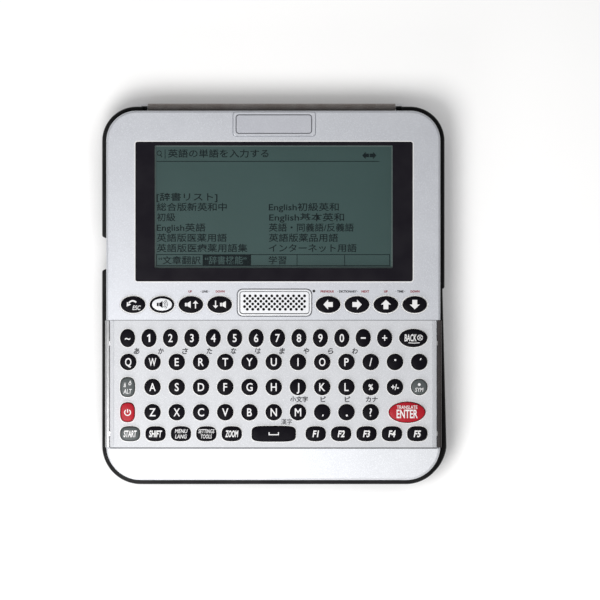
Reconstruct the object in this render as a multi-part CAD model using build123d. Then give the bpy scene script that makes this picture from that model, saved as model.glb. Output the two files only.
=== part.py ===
from build123d import *
import os
from math import copysign, cos, pi, sin, sqrt

# Electronic translator with a flip-over lid, in millimetres.
# +X points right, +Y towards the hinge and +Z up out of the keys.
# The origin lies under the middle of the body, on the table. The lid is folded back under the body,
# inner side down, and its rubber pads carry the whole object.

# Body plan
body_width = 136.5
body_length = 150.9
top_corner_radius = 12.3
bottom_corner_radius = 14.0
wall = 1.5

# Heights of the lid, the gap over it and the two half shells
pad_height = 0.3
lid_rim_depth = 1.9
lid_plate = 1.4
lid_gap = 0.4
rear_depth = 7.0
front_depth = 10.5
lid_top = pad_height + lid_rim_depth + lid_plate
rear_z = lid_top + lid_gap
parting_z = rear_z + rear_depth
face_z = parting_z + front_depth

# Shell details
floor_thickness = 1.5
face_thickness = 1.8
face_bevel = 0.9
rear_bevel = 1.2
corner_steps = 3
fit = 0.1
cut_over = 1.0

# Two-axis hinge on the top edge
hinge_x = -0.7
hinge_margin = 17.6
link_length = body_width - 2 * hinge_margin
link_web = 1.5
barrel_radius = 1.35
barrel_sides = 12
barrel_gap = 0.3
ear_width = 2.4
ear_gap = 0.25
ear_root = 4.0
ear_wall_gap = 0.15
pin_radius = 0.8
pin_run_fit = 0.05
pin_seat_fit = 0.02
link_span = (face_z + lid_gap) / 2
lid_axis_z = lid_top / 2
body_axis_z = lid_axis_z + link_span
hinge_y = body_length / 2 + barrel_gap + barrel_radius
ear_inner = link_length / 2 + ear_gap
ear_outer = ear_inner + ear_width

# Lid
lid_inset = 0.15
lid_rim = 2.0
lid_bevel = 0.8
lid_post_radius = 3.4
pad_radius = 2.2
pad_seat = 0.5
pad_x = body_width / 2 - 7.25
pad_y = body_length / 2 - 7.95
thumb_width = 24.0
thumb_depth = 1.1
thumb_height = 1.3

# Keyboard panel, placed above the plain grip of the lower edge, and the side rails next to it
panel_inset = 1.55
panel_width = body_width - 2 * panel_inset
panel_length = 51.9
panel_low_margin = 13.3
panel_y = -body_length / 2 + panel_low_margin + panel_length / 2
panel_high_y = panel_y + panel_length / 2
panel_thickness = 1.1
panel_gap = 0.2
panel_low_gap = 0.5
panel_ledge = 2.0
panel_bevel = 1.5
panel_bevel_depth = 0.5
rail_width = 1.6
rail_height = 3.6
rail_gap = 0.4
rail_edge_radius = 0.7
rail_seat_wall = 2.6

# Screen window, by its margins to the body's sides, the top edge and the keyboard panel
window_left_margin = 11.95
window_right_margin = 11.35
window_top_margin = 12.75
window_low_margin = 16.05
window_low_y = panel_high_y + window_low_margin
window_width = body_width - window_left_margin - window_right_margin
window_length = body_length / 2 - window_top_margin - window_low_y
window_x = (window_left_margin - window_right_margin) / 2
window_y = window_low_y + window_length / 2
window_thickness = 1.15
window_corner = 0.8
window_sink = 0.05

# Display, by the borders that the window leaves round it, and the backlight and tray behind it
border_left = 7.75
border_right = 8.15
border_top = 1.45
border_low = 5.25
display_width = window_width - border_left - border_right
display_length = window_length - border_top - border_low
display_x = window_x + (border_left - border_right) / 2
display_y = window_y + (border_low - border_top) / 2
display_rim = 0.5
glass_side = 2.85
glass_end = 3.9
glass_width = display_width + 2 * glass_side
glass_length = display_length + 2 * glass_end
glass_thickness = 1.9
glass_play = 0.15
backlight_thickness = 1.7
holder_wall = 1.1
holder_floor = 0.8
holder_play = 0.2

# Badge plate, speaker grille and microphone
badge_width = 33.6
badge_length = 9.7
badge_corner = 1.0
badge_top_margin = 0.55
badge_x = 0.4
badge_y = body_length / 2 - badge_top_margin - badge_length / 2
badge_seat = 0.6
badge_stand = 0.2
grille_margin = 53.0
grille_width = body_width - 2 * grille_margin
grille_length = 11.1
grille_corner = 2.15
grille_x = 0.5
grille_y = panel_high_y + 7.3
grille_seat = 1.0
grille_stand = 0.2
grille_frame = 1.1
grille_field_width = grille_width - 2 * grille_frame
grille_field_length = grille_length - 2 * grille_frame
grille_field_corner = 1.2
grille_field_sink = 0.25
grille_hole_radius = 0.47
grille_hole_sides = 4
grille_rows = 6
grille_columns = 12
grille_pitch_x = grille_field_width / (grille_columns + 0.75)
grille_pitch_y = 1.115
speaker_width = grille_width - 5.5
speaker_length = 9.0
speaker_corner = 3.5
speaker_height = 3.2
speaker_magnet_radius = 3.6
speaker_magnet_height = 1.4
mic_side_gap = 0.85
mic_x = grille_x + grille_width / 2 + mic_side_gap
mic_y = panel_high_y + 12.0
mic_hole_radius = 0.43
mic_radius = 1.9

# Keys: caps are superellipses, of form 2 for an oval and more for a squarer cap.
# The number of sides is twice an odd number, which puts a flat at the top and the bottom of a cap.
cap_sides = 10
key_stand = 1.4
key_height = 3.3
key_draft = 6.0
key_play = 0.22
oval_form = 2.0
pill_form = 2.7
bar_form = 4.0
nav_cap = (9.6, 6.4, oval_form)
number_cap = (5.7, 6.95, oval_form)
letter_cap = (6.25, 6.25, oval_form)
tall_cap = (5.7, 7.65, pill_form)
wide_cap = (7.8, 5.65, pill_form)
backspace_cap = (11.1, 7.0, oval_form)
enter_cap = (14.7, 8.25, oval_form)

# Navigation keys, four at each side of the grille
nav_left_margin = 10.95
nav_right_margin = 10.45
nav_pitch = 11.8
nav_left_x = -body_width / 2 + nav_left_margin
nav_right_x = body_width / 2 - nav_right_margin - 3 * nav_pitch
nav_y = panel_high_y + 6.5

# Rows of the keyboard panel: places across it come from its side margins, and the letters share one grid
key_left_margin = 4.3
key_right_margin = 3.95
key_left_edge = -panel_width / 2 + key_left_margin
key_right_edge = panel_width / 2 - key_right_margin
number_count = 13
number_left_x = key_left_edge + number_cap[0] / 2
backspace_x = key_right_edge - backspace_cap[0] / 2
backspace_gap = 3.3
number_right_x = backspace_x - (backspace_cap[0] + number_cap[0]) / 2 - backspace_gap
number_pitch = (number_right_x - number_left_x) / (number_count - 1)
letter_columns = 13
letter_left_x = key_left_edge + letter_cap[0] / 2
letter_pitch = (key_right_edge - letter_cap[0] / 2 - letter_left_x) / (letter_columns - 1)
second_column_x = letter_left_x + letter_pitch
enter_x = key_right_edge - letter_cap[0] / 2 - letter_pitch / 2
function_pitch = 10.38
bottom_left_x = key_left_edge + wide_cap[0] / 2
zoom_x = bottom_left_x + 4 * function_pitch
function_left_x = key_right_edge - wide_cap[0] / 2 - 4 * function_pitch
space_gap = 4.45
space_length = 6.0
space_cap = (function_left_x - zoom_x - wide_cap[0] - 2 * space_gap, space_length, bar_form)
space_x = (zoom_x + function_left_x) / 2

# Heights of the rows on the panel: the steps between them keep their shares of its length
number_drop = 7.17
bottom_rise = 5.6
row_steps = (9.8, 10.23, 10.3, 8.8)
number_y = panel_high_y - number_drop
bottom_y = panel_high_y - panel_length + bottom_rise
row_share = (number_y - bottom_y) / sum(row_steps)
upper_y = number_y - row_share * row_steps[0]
middle_y = upper_y - row_share * row_steps[1]
lower_y = middle_y - row_share * row_steps[2]

# Boards and the silicone sheet under the keys
board_thickness = 1.2
board_width = body_width - 2 * (wall + 2.75)
board_low_y = -body_length / 2 + wall + 8.45
board_high_y = body_length / 2 - wall - 10.45
key_board_gap = 1.0
key_board_width = panel_width + 2 * (rail_gap - rail_seat_wall - key_board_gap)
key_board_low_y = -body_length / 2 + wall + 7.85
key_board_high_y = display_y - glass_length / 2 - holder_play - holder_wall - 1.35
key_board_thickness = 1.0
key_board_drop = 2.1
sheet_thickness = 0.5
sheet_play = 0.05
sheet_strip = 5.0
sheet_margin = 1.0
key_travel_room = 0.9

# Battery and its sliding cover
battery_width = 49.0
battery_length = 38.0
battery_thickness = 3.6
battery_low_gap = 3.95
battery_end_gap = 1.0
battery_y = -body_length / 2 + wall + battery_low_gap + battery_length / 2
battery_seat = 0.3
battery_corner = 2.0
cover_side_gap = 2.5
cover_half_width = battery_width / 2 + cover_side_gap
cover_high_y = battery_y + battery_length / 2 + battery_end_gap
cover_height = 5.8
cover_play = 0.2
hook_reach = 1.8
hook_root = 1.5
hook_length = 8.0
hook_height = 0.85
hook_drops = (13.0, 29.0)
grip_count = 4
grip_pitch = 2.2
grip_width = 20.0
grip_depth = 0.4
grip_drop = 9.0
bay_rib = 0.8
bay_half_width = cover_half_width + 2.5

# Sockets
jack_y = 17.35
jack_bore_radius = 1.8
jack_bore_length = 14.0
jack_nose_radius = 2.6
jack_nose_play = 0.15
jack_case_width = 6.0
jack_case_height = 5.8
jack_end_wall = 0.8
jack_recess = 0.05
card_y = -body_length / 2 + 20.95
card_width = 26.0
card_height = 3.4
card_depth = 26.0
card_mouth_x = body_width / 2 - 3.45
card_slot_width = 24.4
card_slot_height = 2.4
card_bottom_skin = 0.4
card_door_margin = 0.5
usb_y = card_y + 24.05
usb_width = 7.7
usb_height = 3.9
usb_depth = 9.0
usb_skin = 0.4
usb_corner = 1.0
usb_tongue_width = 5.0
usb_tongue_height = 0.8
usb_play = 0.2
socket_drop = 0.05

# Bumper band round the waist, open on the left side round the earphone jack
bumper_height = 5.1
bumper_stand = 1.8
bumper_fit = 0.05
bumper_edge = 0.6
bumper_end_cut = 1.2
bumper_break = 0.6
bumper_ear_gap = 0.2
left_upper_end_y = jack_y + 6.1
left_lower_end_y = jack_y - 6.6
right_end_y = 2.25
flare_start = 1.0
flare_end = 2.6
flare_low_y = -body_length / 2 + 13.45
flare_blend = 4.0
rib_depth = 0.7
rib_height = 1.2
rib_fit = 0.05

# Screws and the posts that they go into
post_sides = 6
corner_screw_x = body_width / 2 - 8.25
corner_screw_y = body_length / 2 - 8.45
lower_screw_x = 33.0
lower_screw_y = -body_length / 2 + 4.8
casing_screw_places = [(side * corner_screw_x, corner_screw_y) for side in (-1, 1)]
casing_screw_places += [(side * lower_screw_x, lower_screw_y) for side in (-1, 1)]
casing_post_radius = 2.8
casing_screw_radius = 1.0
casing_head_radius = 1.9
casing_head_height = 1.3
casing_head_sink = 0.5
casing_head_play = 0.25
casing_screw_length = 9.0
board_screw_places = ((-52.0, 50.0), (45.0, -12.0))
key_board_screw_places = ((-40.0, key_board_high_y - 2.0), (50.0, key_board_low_y + 1.6))
board_post_radius = 1.8
board_screw_radius = 0.7
board_head_radius = 1.4
board_head_height = 0.8
board_screw_length = 3.2
screw_fit = 0.03
screw_end_room = 0.4
notch_play = 0.4

# Display ribbon
ribbon_width = 18.0
ribbon_thickness = 0.25
ribbon_start_y = 16.0
ribbon_bend_y = 28.0
ribbon_play = 0.05

# Heights worked out from the sizes above
inner_face_z = face_z - face_thickness
panel_z = face_z - panel_thickness
key_top_z = face_z + key_stand
key_bottom_z = key_top_z - key_height
key_board_z = inner_face_z - key_board_drop - key_board_thickness
sheet_z = key_board_z + key_board_thickness + sheet_play
glass_z = inner_face_z - glass_play - glass_thickness
backlight_z = glass_z - glass_play - backlight_thickness
holder_z = backlight_z - holder_floor
battery_z = rear_z + floor_thickness + battery_seat
board_z = rear_z + floor_thickness + usb_height + socket_drop + 2 * usb_play
board_top_z = board_z + board_thickness
jack_z = board_top_z + socket_drop + jack_case_height / 2
usb_z = board_z - socket_drop - usb_height / 2
card_top_z = board_z - socket_drop
bumper_low_z = body_axis_z - bumper_height / 2


def slab(plan, low_z, high_z):
    """Solid with the given plan between two heights."""
    return extrude(Pos(0, 0, low_z) * plan, amount=high_z - low_z, dir=(0, 0, 1))


def bar(profile, low_x, high_x):
    """Solid whose section, drawn in Y and Z, is the same all along X."""
    return extrude(Plane.YZ.offset(low_x) * profile, amount=high_x - low_x, dir=(1, 0, 0))


def block(x_range, y_range, z_range):
    """Box between two corners."""
    sizes = [high - low for low, high in (x_range, y_range, z_range)]
    middle = [(low + high) / 2 for low, high in (x_range, y_range, z_range)]
    return Pos(*middle) * Box(*sizes)


def place(x, y, plan):
    """Plan moved to its place on the body."""
    return Pos(x, y) * plan


def group(solids):
    """Separate solids that share one node."""
    return Compound([solid for part in solids for solid in part.solids()])


def body_outline(grow=0.0):
    """Plan of the body, larger by grow all round, or smaller where it is negative."""
    plan = Rectangle(body_width + 2 * grow, body_length + 2 * grow)
    plan = fillet(plan.vertices().group_by(Axis.Y)[0], bottom_corner_radius + grow)
    return fillet(plan.vertices().group_by(Axis.Y)[-1], top_corner_radius + grow)


def ring(outer_grow, inner_grow, low_z, high_z):
    """Band that follows the body's outline."""
    return slab(body_outline(outer_grow) - body_outline(inner_grow), low_z, high_z)


def post_plan(radius):
    """Plan of a screw or its post, six-sided with a flat at the top and the bottom."""
    return RegularPolygon(radius, post_sides, major_radius=False)


def at_places(plan, places):
    """The same plan at each of the places."""
    return [place(x, y, plan) for x, y in places]


def posts(places, radius, low_z, high_z):
    """One upright post at each of the places."""
    return [slab(plan, low_z, high_z) for plan in at_places(post_plan(radius), places)]


def cap_outline(cap, grow=0.0):
    """Plan of a key cap, or of its hole where grow is the play round the cap."""
    width, length, form = cap
    top_flat = cos(pi / cap_sides)
    points = []
    for side in range(cap_sides):
        turn = 2 * pi * side / cap_sides
        across = copysign(abs(cos(turn)) ** (2 / form), cos(turn))
        along = copysign(abs(sin(turn) / top_flat) ** (2 / form), sin(turn))
        points.append(((width / 2 + grow) * across, (length / 2 + grow) * along))
    return Polygon(*points, align=None)


def row(left_x, pitch, count, y, cap):
    """Evenly spaced keys of one kind."""
    return [(left_x + step * pitch, y, cap) for step in range(count)]


def named_row(names, left_x, pitch, y, cap):
    """Evenly spaced keys of one kind, each with a node of its own."""
    return {name: [key] for name, key in zip(names, row(left_x, pitch, len(names), y, cap))}


def key_layout():
    """Node name of every key or row of keys, with the place and cap of each key in it."""
    layout = named_row(
        ("escape_key", "speak_key", "volume_up_key", "volume_down_key"), nav_left_x, nav_pitch, nav_y, nav_cap
    )
    layout |= named_row(("left_key", "right_key", "up_key", "down_key"), nav_right_x, nav_pitch, nav_y, nav_cap)
    layout["number_keys"] = row(number_left_x, number_pitch, number_count, number_y, number_cap)
    layout["backspace_key"] = [(backspace_x, number_y, backspace_cap)]
    layout["upper_letter_keys"] = row(letter_left_x, letter_pitch, letter_columns, upper_y, letter_cap)
    layout["alt_key"] = [(number_left_x, middle_y, tall_cap)]
    layout["middle_letter_keys"] = row(second_column_x, letter_pitch, letter_columns - 2, middle_y, letter_cap)
    layout["symbol_key"] = [(key_right_edge - letter_cap[0] / 2, middle_y, letter_cap)]
    layout["power_key"] = [(number_left_x, lower_y, tall_cap)]
    layout["lower_letter_keys"] = row(second_column_x, letter_pitch, letter_columns - 3, lower_y, letter_cap)
    layout["enter_key"] = [(enter_x, lower_y, enter_cap)]
    layout |= named_row(
        ("start_key", "shift_key", "menu_key", "tools_key", "zoom_key"),
        bottom_left_x, function_pitch, bottom_y, wide_cap,
    )
    layout["space_key"] = [(space_x, bottom_y, space_cap)]
    layout |= named_row(
        ("f1_key", "f2_key", "f3_key", "f4_key", "f5_key"), function_left_x, function_pitch, bottom_y, wide_cap
    )
    return layout


def key_cap(x, y, cap):
    """One key: a plunger with draft on its sides."""
    foot = Pos(x, y, key_bottom_z) * cap_outline(cap)
    return extrude(foot, amount=key_height, dir=(0, 0, 1), taper=key_draft)


def key_holes(on_panel):
    """Plans of the key holes in the keyboard panel, or of the nav keys' holes in the front cover."""
    keys = [key for row_keys in key_layout().values() for key in row_keys]
    return [place(x, y, cap_outline(cap, key_play)) for x, y, cap in keys if (y < nav_y) == on_panel]


def panel_plan(grow=0.0):
    """Plan of the keyboard panel or of a recess or opening round it."""
    return place(0, panel_y, Rectangle(panel_width + 2 * grow, panel_length + 2 * grow))


def soft_rectangle(width, length, corner):
    """Rectangle whose corners are rounded in a few short sides."""
    points = []
    for turn in range(4 * (corner_steps + 1)):
        quarter, step = divmod(turn, corner_steps + 1)
        angle = (quarter + step / corner_steps) * pi / 2
        across = copysign(width / 2 - corner, cos(quarter * pi / 2 + pi / 4))
        along = copysign(length / 2 - corner, sin(quarter * pi / 2 + pi / 4))
        points.append((across + corner * cos(angle), along + corner * sin(angle)))
    return Polygon(*points, align=None)


def window_plan(grow=0.0):
    """Plan of the screen window or of its recess."""
    plan = soft_rectangle(window_width + 2 * grow, window_length + 2 * grow, window_corner)
    return place(window_x, window_y, plan)


def badge_plan(grow=0.0):
    """Plan of the badge plate or of its seat."""
    plan = soft_rectangle(badge_width + 2 * grow, badge_length + 2 * grow, badge_corner)
    return place(badge_x, badge_y, plan)


def grille_plan(grow=0.0):
    """Plan of the speaker grille or of its seat."""
    plan = soft_rectangle(grille_width + 2 * grow, grille_length + 2 * grow, grille_corner + grow)
    return place(grille_x, grille_y, plan)


def grille_field():
    """Plan of the perforated field of the grille."""
    plan = soft_rectangle(grille_field_width, grille_field_length, grille_field_corner)
    return place(grille_x, grille_y, plan)


def display_plan(width, length, grow=0.0):
    """Plan of a piece of the display stack, centred on the display."""
    return place(display_x, display_y, Rectangle(width + 2 * grow, length + 2 * grow))


def side_bore(radius, low_x, high_x):
    """Round cut for the earphone jack through the left side."""
    return bar(place(jack_y, jack_z, Circle(radius)), low_x, high_x)


def rail_seats():
    """Thicker wall under each side rail, inside the front cover."""
    inner_x = panel_width / 2 + rail_gap - rail_seat_wall
    seats = []
    for side in (-1, 1):
        x_range = sorted((side * inner_x, side * (body_width / 2 - wall)))
        y_range = (panel_y - panel_length / 2 - wall, panel_y + panel_length / 2 + wall)
        seats.append(block(x_range, y_range, (panel_z - rail_height, inner_face_z)))
    return seats


def rail_box(side, play, low_z, high_z):
    """Space of one side rail, with play round it."""
    inner_x = panel_width / 2 + rail_gap
    x_range = sorted((side * (inner_x - play), side * (inner_x + rail_width + play)))
    half_length = panel_length / 2 + play
    return block(x_range, (panel_y - half_length, panel_y + half_length), (low_z, high_z))


def front_cover():
    """Front shell: face plate, side walls, seats for what sits in the face, and screw posts."""
    cover = slab(body_outline(), parting_z, face_z)
    cover = chamfer(cover.edges().group_by(Axis.Z)[-1], face_bevel)
    cover -= slab(body_outline(-wall), parting_z, inner_face_z)
    cover += rail_seats()
    cover += posts(casing_screw_places, casing_post_radius, parting_z, inner_face_z)
    cover += posts(key_board_screw_places, board_post_radius, key_board_z + key_board_thickness, inner_face_z)
    recess_y = (panel_high_y - panel_length - panel_low_gap, panel_high_y + panel_gap)
    cover -= block((-body_width, body_width), recess_y, (panel_z, face_z + cut_over))
    cover -= [rail_box(side, fit, face_z - rail_height, face_z + cut_over) for side in (-1, 1)]
    above = face_z + cut_over
    cover -= slab(panel_plan(-panel_ledge), inner_face_z - cut_over, above)
    cover -= slab(window_plan(fit), face_z - window_thickness - window_sink, above)
    cover -= slab(display_plan(display_width, display_length, display_rim), inner_face_z - cut_over, above)
    cover -= slab(badge_plan(fit), face_z - badge_seat, above)
    cover -= slab(grille_plan(fit), face_z - grille_seat, above)
    cover -= slab(grille_field(), inner_face_z - cut_over, above)
    small_holes = key_holes(on_panel=False) + [place(mic_x, mic_y, post_plan(mic_hole_radius))]
    cover -= [slab(hole, inner_face_z - cut_over, above) for hole in small_holes]
    cover -= posts(
        casing_screw_places, casing_screw_radius + screw_fit, parting_z, casing_screw_tip() + screw_end_room
    )
    cover -= posts(
        key_board_screw_places, board_screw_radius + screw_fit, key_board_z, inner_face_z + screw_end_room
    )
    cover -= ring(cut_over, -rib_depth, parting_z, parting_z + rib_height)
    cover -= side_bore(jack_nose_radius + jack_nose_play, -body_width, -body_width / 2 + 2 * wall)
    return cover


def casing_screw_tip():
    """Height that the casing screws reach."""
    return rear_z + casing_head_sink + casing_head_height + casing_screw_length


def rear_block():
    """Outside form of the rear shell."""
    plain = slab(body_outline(), rear_z, parting_z)
    return chamfer(plain.edges().group_by(Axis.Z)[0], rear_bevel)


def rear_inside():
    """Hollow of the rear shell."""
    return slab(body_outline(-wall), rear_z + floor_thickness, parting_z)


def battery_region(play):
    """Space of the battery cover, which reaches round the lower edge."""
    x_range = (-cover_half_width - play, cover_half_width + play)
    return block(x_range, (-body_length, cover_high_y + play), (rear_z - cut_over, rear_z + cover_height + play))


def barrel_plan():
    """Round section of a hinge barrel."""
    return RegularPolygon(barrel_radius, barrel_sides)


def hinge_ears():
    """Two ears on the rear shell that hold the hinge's upper pins."""
    wall_y = body_length / 2 + ear_wall_gap
    outline = Polygon(
        (body_length / 2 - wall, parting_z - ear_root),
        (hinge_y + barrel_radius, body_axis_z),
        (wall_y, body_axis_z),
        (wall_y, parting_z),
        (body_length / 2 - wall, parting_z),
        align=None,
    )
    outline += place(hinge_y, body_axis_z, barrel_plan())
    outline -= place(hinge_y, body_axis_z, Circle(pin_radius + pin_seat_fit))
    left = bar(outline, hinge_x - ear_outer, hinge_x - ear_inner)
    return [left, bar(outline, hinge_x + ear_inner, hinge_x + ear_outer)]


def battery_bay():
    """Low ribs of the rear shell round the battery."""
    low_y = -body_length / 2 + wall
    high_y = cover_high_y + 2 * bay_rib
    x_range = (-bay_half_width - bay_rib, bay_half_width + bay_rib)
    top_z = battery_z + battery_thickness
    frame = block(x_range, (low_y, high_y), (rear_z + floor_thickness, top_z))
    hollow_x = (-bay_half_width, bay_half_width)
    return frame - block(hollow_x, (low_y - cut_over, high_y - bay_rib), (rear_z, top_z + cut_over))


def rear_cover():
    """Rear shell: floor, walls, battery opening, socket openings, posts and hinge ears."""
    cover = rear_block() - rear_inside()
    cover += battery_bay()
    cover += posts(casing_screw_places, casing_post_radius, rear_z + cut_over, parting_z - fit)
    cover += posts(board_screw_places, board_post_radius, rear_z + cut_over, board_z)
    head_top = rear_z + casing_head_sink + casing_head_height
    cover -= posts(casing_screw_places, casing_head_radius + casing_head_play, rear_z, head_top)
    cover -= posts(casing_screw_places, casing_screw_radius + 2 * screw_fit, rear_z, parting_z)
    screw_end = board_top_z - board_screw_length - screw_end_room
    cover -= posts(board_screw_places, board_screw_radius + screw_fit, screw_end, board_z + cut_over)
    cover -= battery_region(cover_play)
    side_x = (body_width / 2 - 2 * wall, body_width)
    usb_half = usb_width / 2 + usb_play
    usb_z_range = (usb_z - usb_height / 2 - usb_play, usb_z + usb_height / 2 + usb_play)
    cover -= block(side_x, (usb_y - usb_half, usb_y + usb_half), usb_z_range)
    card_half = card_slot_width / 2 + card_door_margin
    card_low_z = card_top_z - card_height
    card_x = (card_mouth_x - wall, body_width)
    cover -= block(card_x, (card_y - card_half, card_y + card_half), (card_low_z, card_top_z))
    return cover + hinge_ears()


def battery_hooks():
    """Hooks on the inside of the battery cover that slide over the rear shell's floor."""
    floor_z = rear_z + floor_thickness
    hooks = []
    for side in (-1, 1):
        for drop in hook_drops:
            y_range = (cover_high_y - drop - hook_length / 2, cover_high_y - drop + hook_length / 2)
            root_x = sorted((side * (cover_half_width - hook_root), side * cover_half_width))
            hooks.append(block(root_x, y_range, (floor_z, floor_z + cover_play + hook_height)))
            reach_x = sorted((side * (cover_half_width - hook_root), side * (cover_half_width + hook_reach)))
            hooks.append(block(reach_x, y_range, (floor_z + cover_play, floor_z + cover_play + hook_height)))
    return hooks


def battery_cover():
    """Cover that slides out over the lower edge, with hooks and a ribbed thumb grip."""
    cover = (rear_block() - rear_inside()) & battery_region(0.0)
    cover += battery_hooks()
    for step in range(grip_count):
        y = cover_high_y - grip_drop - step * grip_pitch
        groove = place(0, y, Rectangle(grip_width, grip_pitch / 2))
        cover -= slab(groove, rear_z, rear_z + grip_depth)
    return cover


def battery_pack():
    """Flat rechargeable cell in its pouch."""
    plan = soft_rectangle(battery_width, battery_length, battery_corner)
    return slab(place(0, battery_y, plan), battery_z, battery_z + battery_thickness)


def lid():
    """Lid: flat plate with a rim, corner posts for the pads, a thumb notch and two hinge ears."""
    rim_z = pad_height
    plate_z = pad_height + lid_rim_depth
    outer = body_outline(-lid_inset)
    shell = slab(outer, rim_z, lid_top)
    shell = chamfer(shell.edges().group_by(Axis.Z)[-1], lid_bevel)
    shell -= slab(body_outline(-lid_inset - lid_rim), rim_z, plate_z)
    shell += posts(pad_places(), lid_post_radius, rim_z, plate_z)
    shell -= posts(pad_places(), pad_radius + rib_fit, rim_z, rim_z + pad_seat)
    low_y = -body_length / 2 + lid_inset
    thumb_x = (-thumb_width / 2, thumb_width / 2)
    shell -= block(thumb_x, (low_y - cut_over, low_y + thumb_depth), (rim_z, rim_z + thumb_height))
    ear = place(hinge_y, lid_axis_z, barrel_plan())
    arm_y = body_length / 2 - lid_inset - lid_rim
    arm = Rectangle(hinge_y - arm_y, 2 * barrel_radius)
    ear += place((hinge_y + arm_y) / 2, lid_axis_z, arm)
    ear -= place(hinge_y, lid_axis_z, Circle(pin_radius + pin_seat_fit))
    shell += bar(ear, hinge_x - ear_outer, hinge_x - ear_inner)
    return shell + bar(ear, hinge_x + ear_inner, hinge_x + ear_outer)


def pad_places():
    """Corners of the lid where a rubber pad sits."""
    return [(x, y) for x in (-pad_x, pad_x) for y in (-pad_y, pad_y)]


def lid_pads():
    """Four rubber pads that meet the face when the lid is shut, and the table when it is folded back."""
    return group(posts(pad_places(), pad_radius, 0, pad_height + pad_seat))


def hinge_link():
    """Long link between the two hinge axes: two barrels joined by a web."""
    profile = place(hinge_y, (lid_axis_z + body_axis_z) / 2, Rectangle(link_web, link_span))
    for z in (lid_axis_z, body_axis_z):
        profile += place(hinge_y, z, barrel_plan())
    for z in (lid_axis_z, body_axis_z):
        profile -= place(hinge_y, z, Circle(pin_radius + pin_run_fit))
    return bar(profile, hinge_x - link_length / 2, hinge_x + link_length / 2)


def hinge_pin(z):
    """Long steel pin of one hinge axis, through both ears and the link."""
    return bar(place(hinge_y, z, Circle(pin_radius)), hinge_x - ear_outer, hinge_x + ear_outer)


def bumper_segment(region, end_places, outer=None):
    """One rubber bumper: a rounded band with a rib that the two shells clamp."""
    outer = outer or body_outline(bumper_stand)
    plan = (outer - body_outline(bumper_fit)) & region
    plan -= at_places(Rectangle(bumper_end_cut, bumper_end_cut, rotation=45), end_places)
    band = slab(plan, bumper_low_z, bumper_low_z + bumper_height)
    inside = body_outline(bumper_fit + bumper_edge / 2)
    sides = [edge for edge in band.edges().filter_by(Axis.Z, reverse=True) if not is_inside(edge, inside)]
    band = chamfer(sides, bumper_edge)
    rib_plan = (body_outline(bumper_stand / 2) - body_outline(rib_fit - rib_depth)) & region
    return band + slab(rib_plan, parting_z + rib_fit, parting_z + rib_height - rib_fit)


def is_inside(edge, plan):
    """Whether the middle of an edge lies within a plan."""
    middle = edge.position_at(0.5)
    return plan.face().is_inside(Vector(middle.X, middle.Y, 0))


def bumper_top_left():
    """Bumper round the upper left corner, from the hinge to above the earphone jack."""
    end_x = hinge_x - ear_outer - bumper_ear_gap
    far = body_length
    region = block_plan(-far, end_x, left_upper_end_y, far)
    edge_x = -body_width / 2 - bumper_stand
    ends = [(end_x, body_length / 2 + bumper_stand), (edge_x, left_upper_end_y)]
    return bumper_segment(region, ends)


def bumper_top_right():
    """Bumper round the upper right corner, from the hinge to half way down the side."""
    start_x = hinge_x + ear_outer + bumper_ear_gap
    far = body_length
    low_y = right_end_y + bumper_break / 2
    region = block_plan(start_x, far, low_y, far)
    edge_x = body_width / 2 + bumper_stand
    ends = [(start_x, body_length / 2 + bumper_stand), (edge_x, low_y)]
    return bumper_segment(region, ends)


def bumper_lower():
    """Bumper round the lower edge, with a right leg that flares out towards the corner."""
    high_y = right_end_y - bumper_break / 2
    far = body_length
    edge_x = body_width / 2
    corner = bottom_corner_radius + bumper_stand
    drop = bottom_corner_radius - body_length / 2 - flare_low_y + flare_blend
    straight = block_plan(-far, 0, -far, left_lower_end_y) + block_plan(0, far, -far, flare_low_y)
    flare = Polygon(
        (0, flare_low_y - flare_blend),
        (edge_x + bumper_stand - corner + sqrt(corner**2 - drop**2), flare_low_y - flare_blend),
        (edge_x + flare_end, flare_low_y),
        (edge_x + flare_start, high_y),
        (0, high_y),
        align=None,
    )
    outer = (body_outline(bumper_stand) & straight) + flare
    ends = [(-edge_x - bumper_stand, left_lower_end_y), (edge_x + flare_start + fit, high_y)]
    region = block_plan(-far, 0, -far, left_lower_end_y) + block_plan(0, far, -far, high_y)
    return bumper_segment(region, ends, outer)


def block_plan(low_x, high_x, low_y, high_y):
    """Rectangle between two corners."""
    return place((low_x + high_x) / 2, (low_y + high_y) / 2, Rectangle(high_x - low_x, high_y - low_y))


def keyboard_panel():
    """Panel of the lower keys, with one hole for each key and a bevel down both sides."""
    panel = slab(panel_plan() - key_holes(on_panel=True), panel_z, face_z)
    half = panel_width / 2
    for side in (-1, 1):
        wedge = Polygon(
            (side * (half - panel_bevel), face_z),
            (side * half, face_z - panel_bevel_depth),
            (side * (half + cut_over), face_z - panel_bevel_depth),
            (side * (half + cut_over), face_z + cut_over),
            (side * (half - panel_bevel), face_z + cut_over),
            align=None,
        )
        low_y = panel_y - panel_length / 2 - cut_over
        cutter = Plane.XZ.offset(-low_y) * wedge
        panel -= extrude(cutter, amount=panel_length + 2 * cut_over, dir=(0, 1, 0))
    return panel


def side_rail(side):
    """Glossy strip beside the keyboard panel, rounded along its outer edge."""
    rail = rail_box(side, 0.0, face_z - rail_height + fit, face_z - fit)
    outer_edges = rail.edges().filter_by(Axis.Y).group_by(Axis.Z)[-1].sort_by(Axis.X)
    return fillet(outer_edges[-1 if side > 0 else 0], rail_edge_radius)


def screen_window():
    """Flat pane over the display, with a black border printed on its back."""
    return slab(window_plan(), face_z - window_thickness - window_sink + fit / 2, face_z - window_sink)


def lcd_panel():
    """Display glass."""
    return slab(display_plan(glass_width, glass_length), glass_z, glass_z + glass_thickness)


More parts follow.
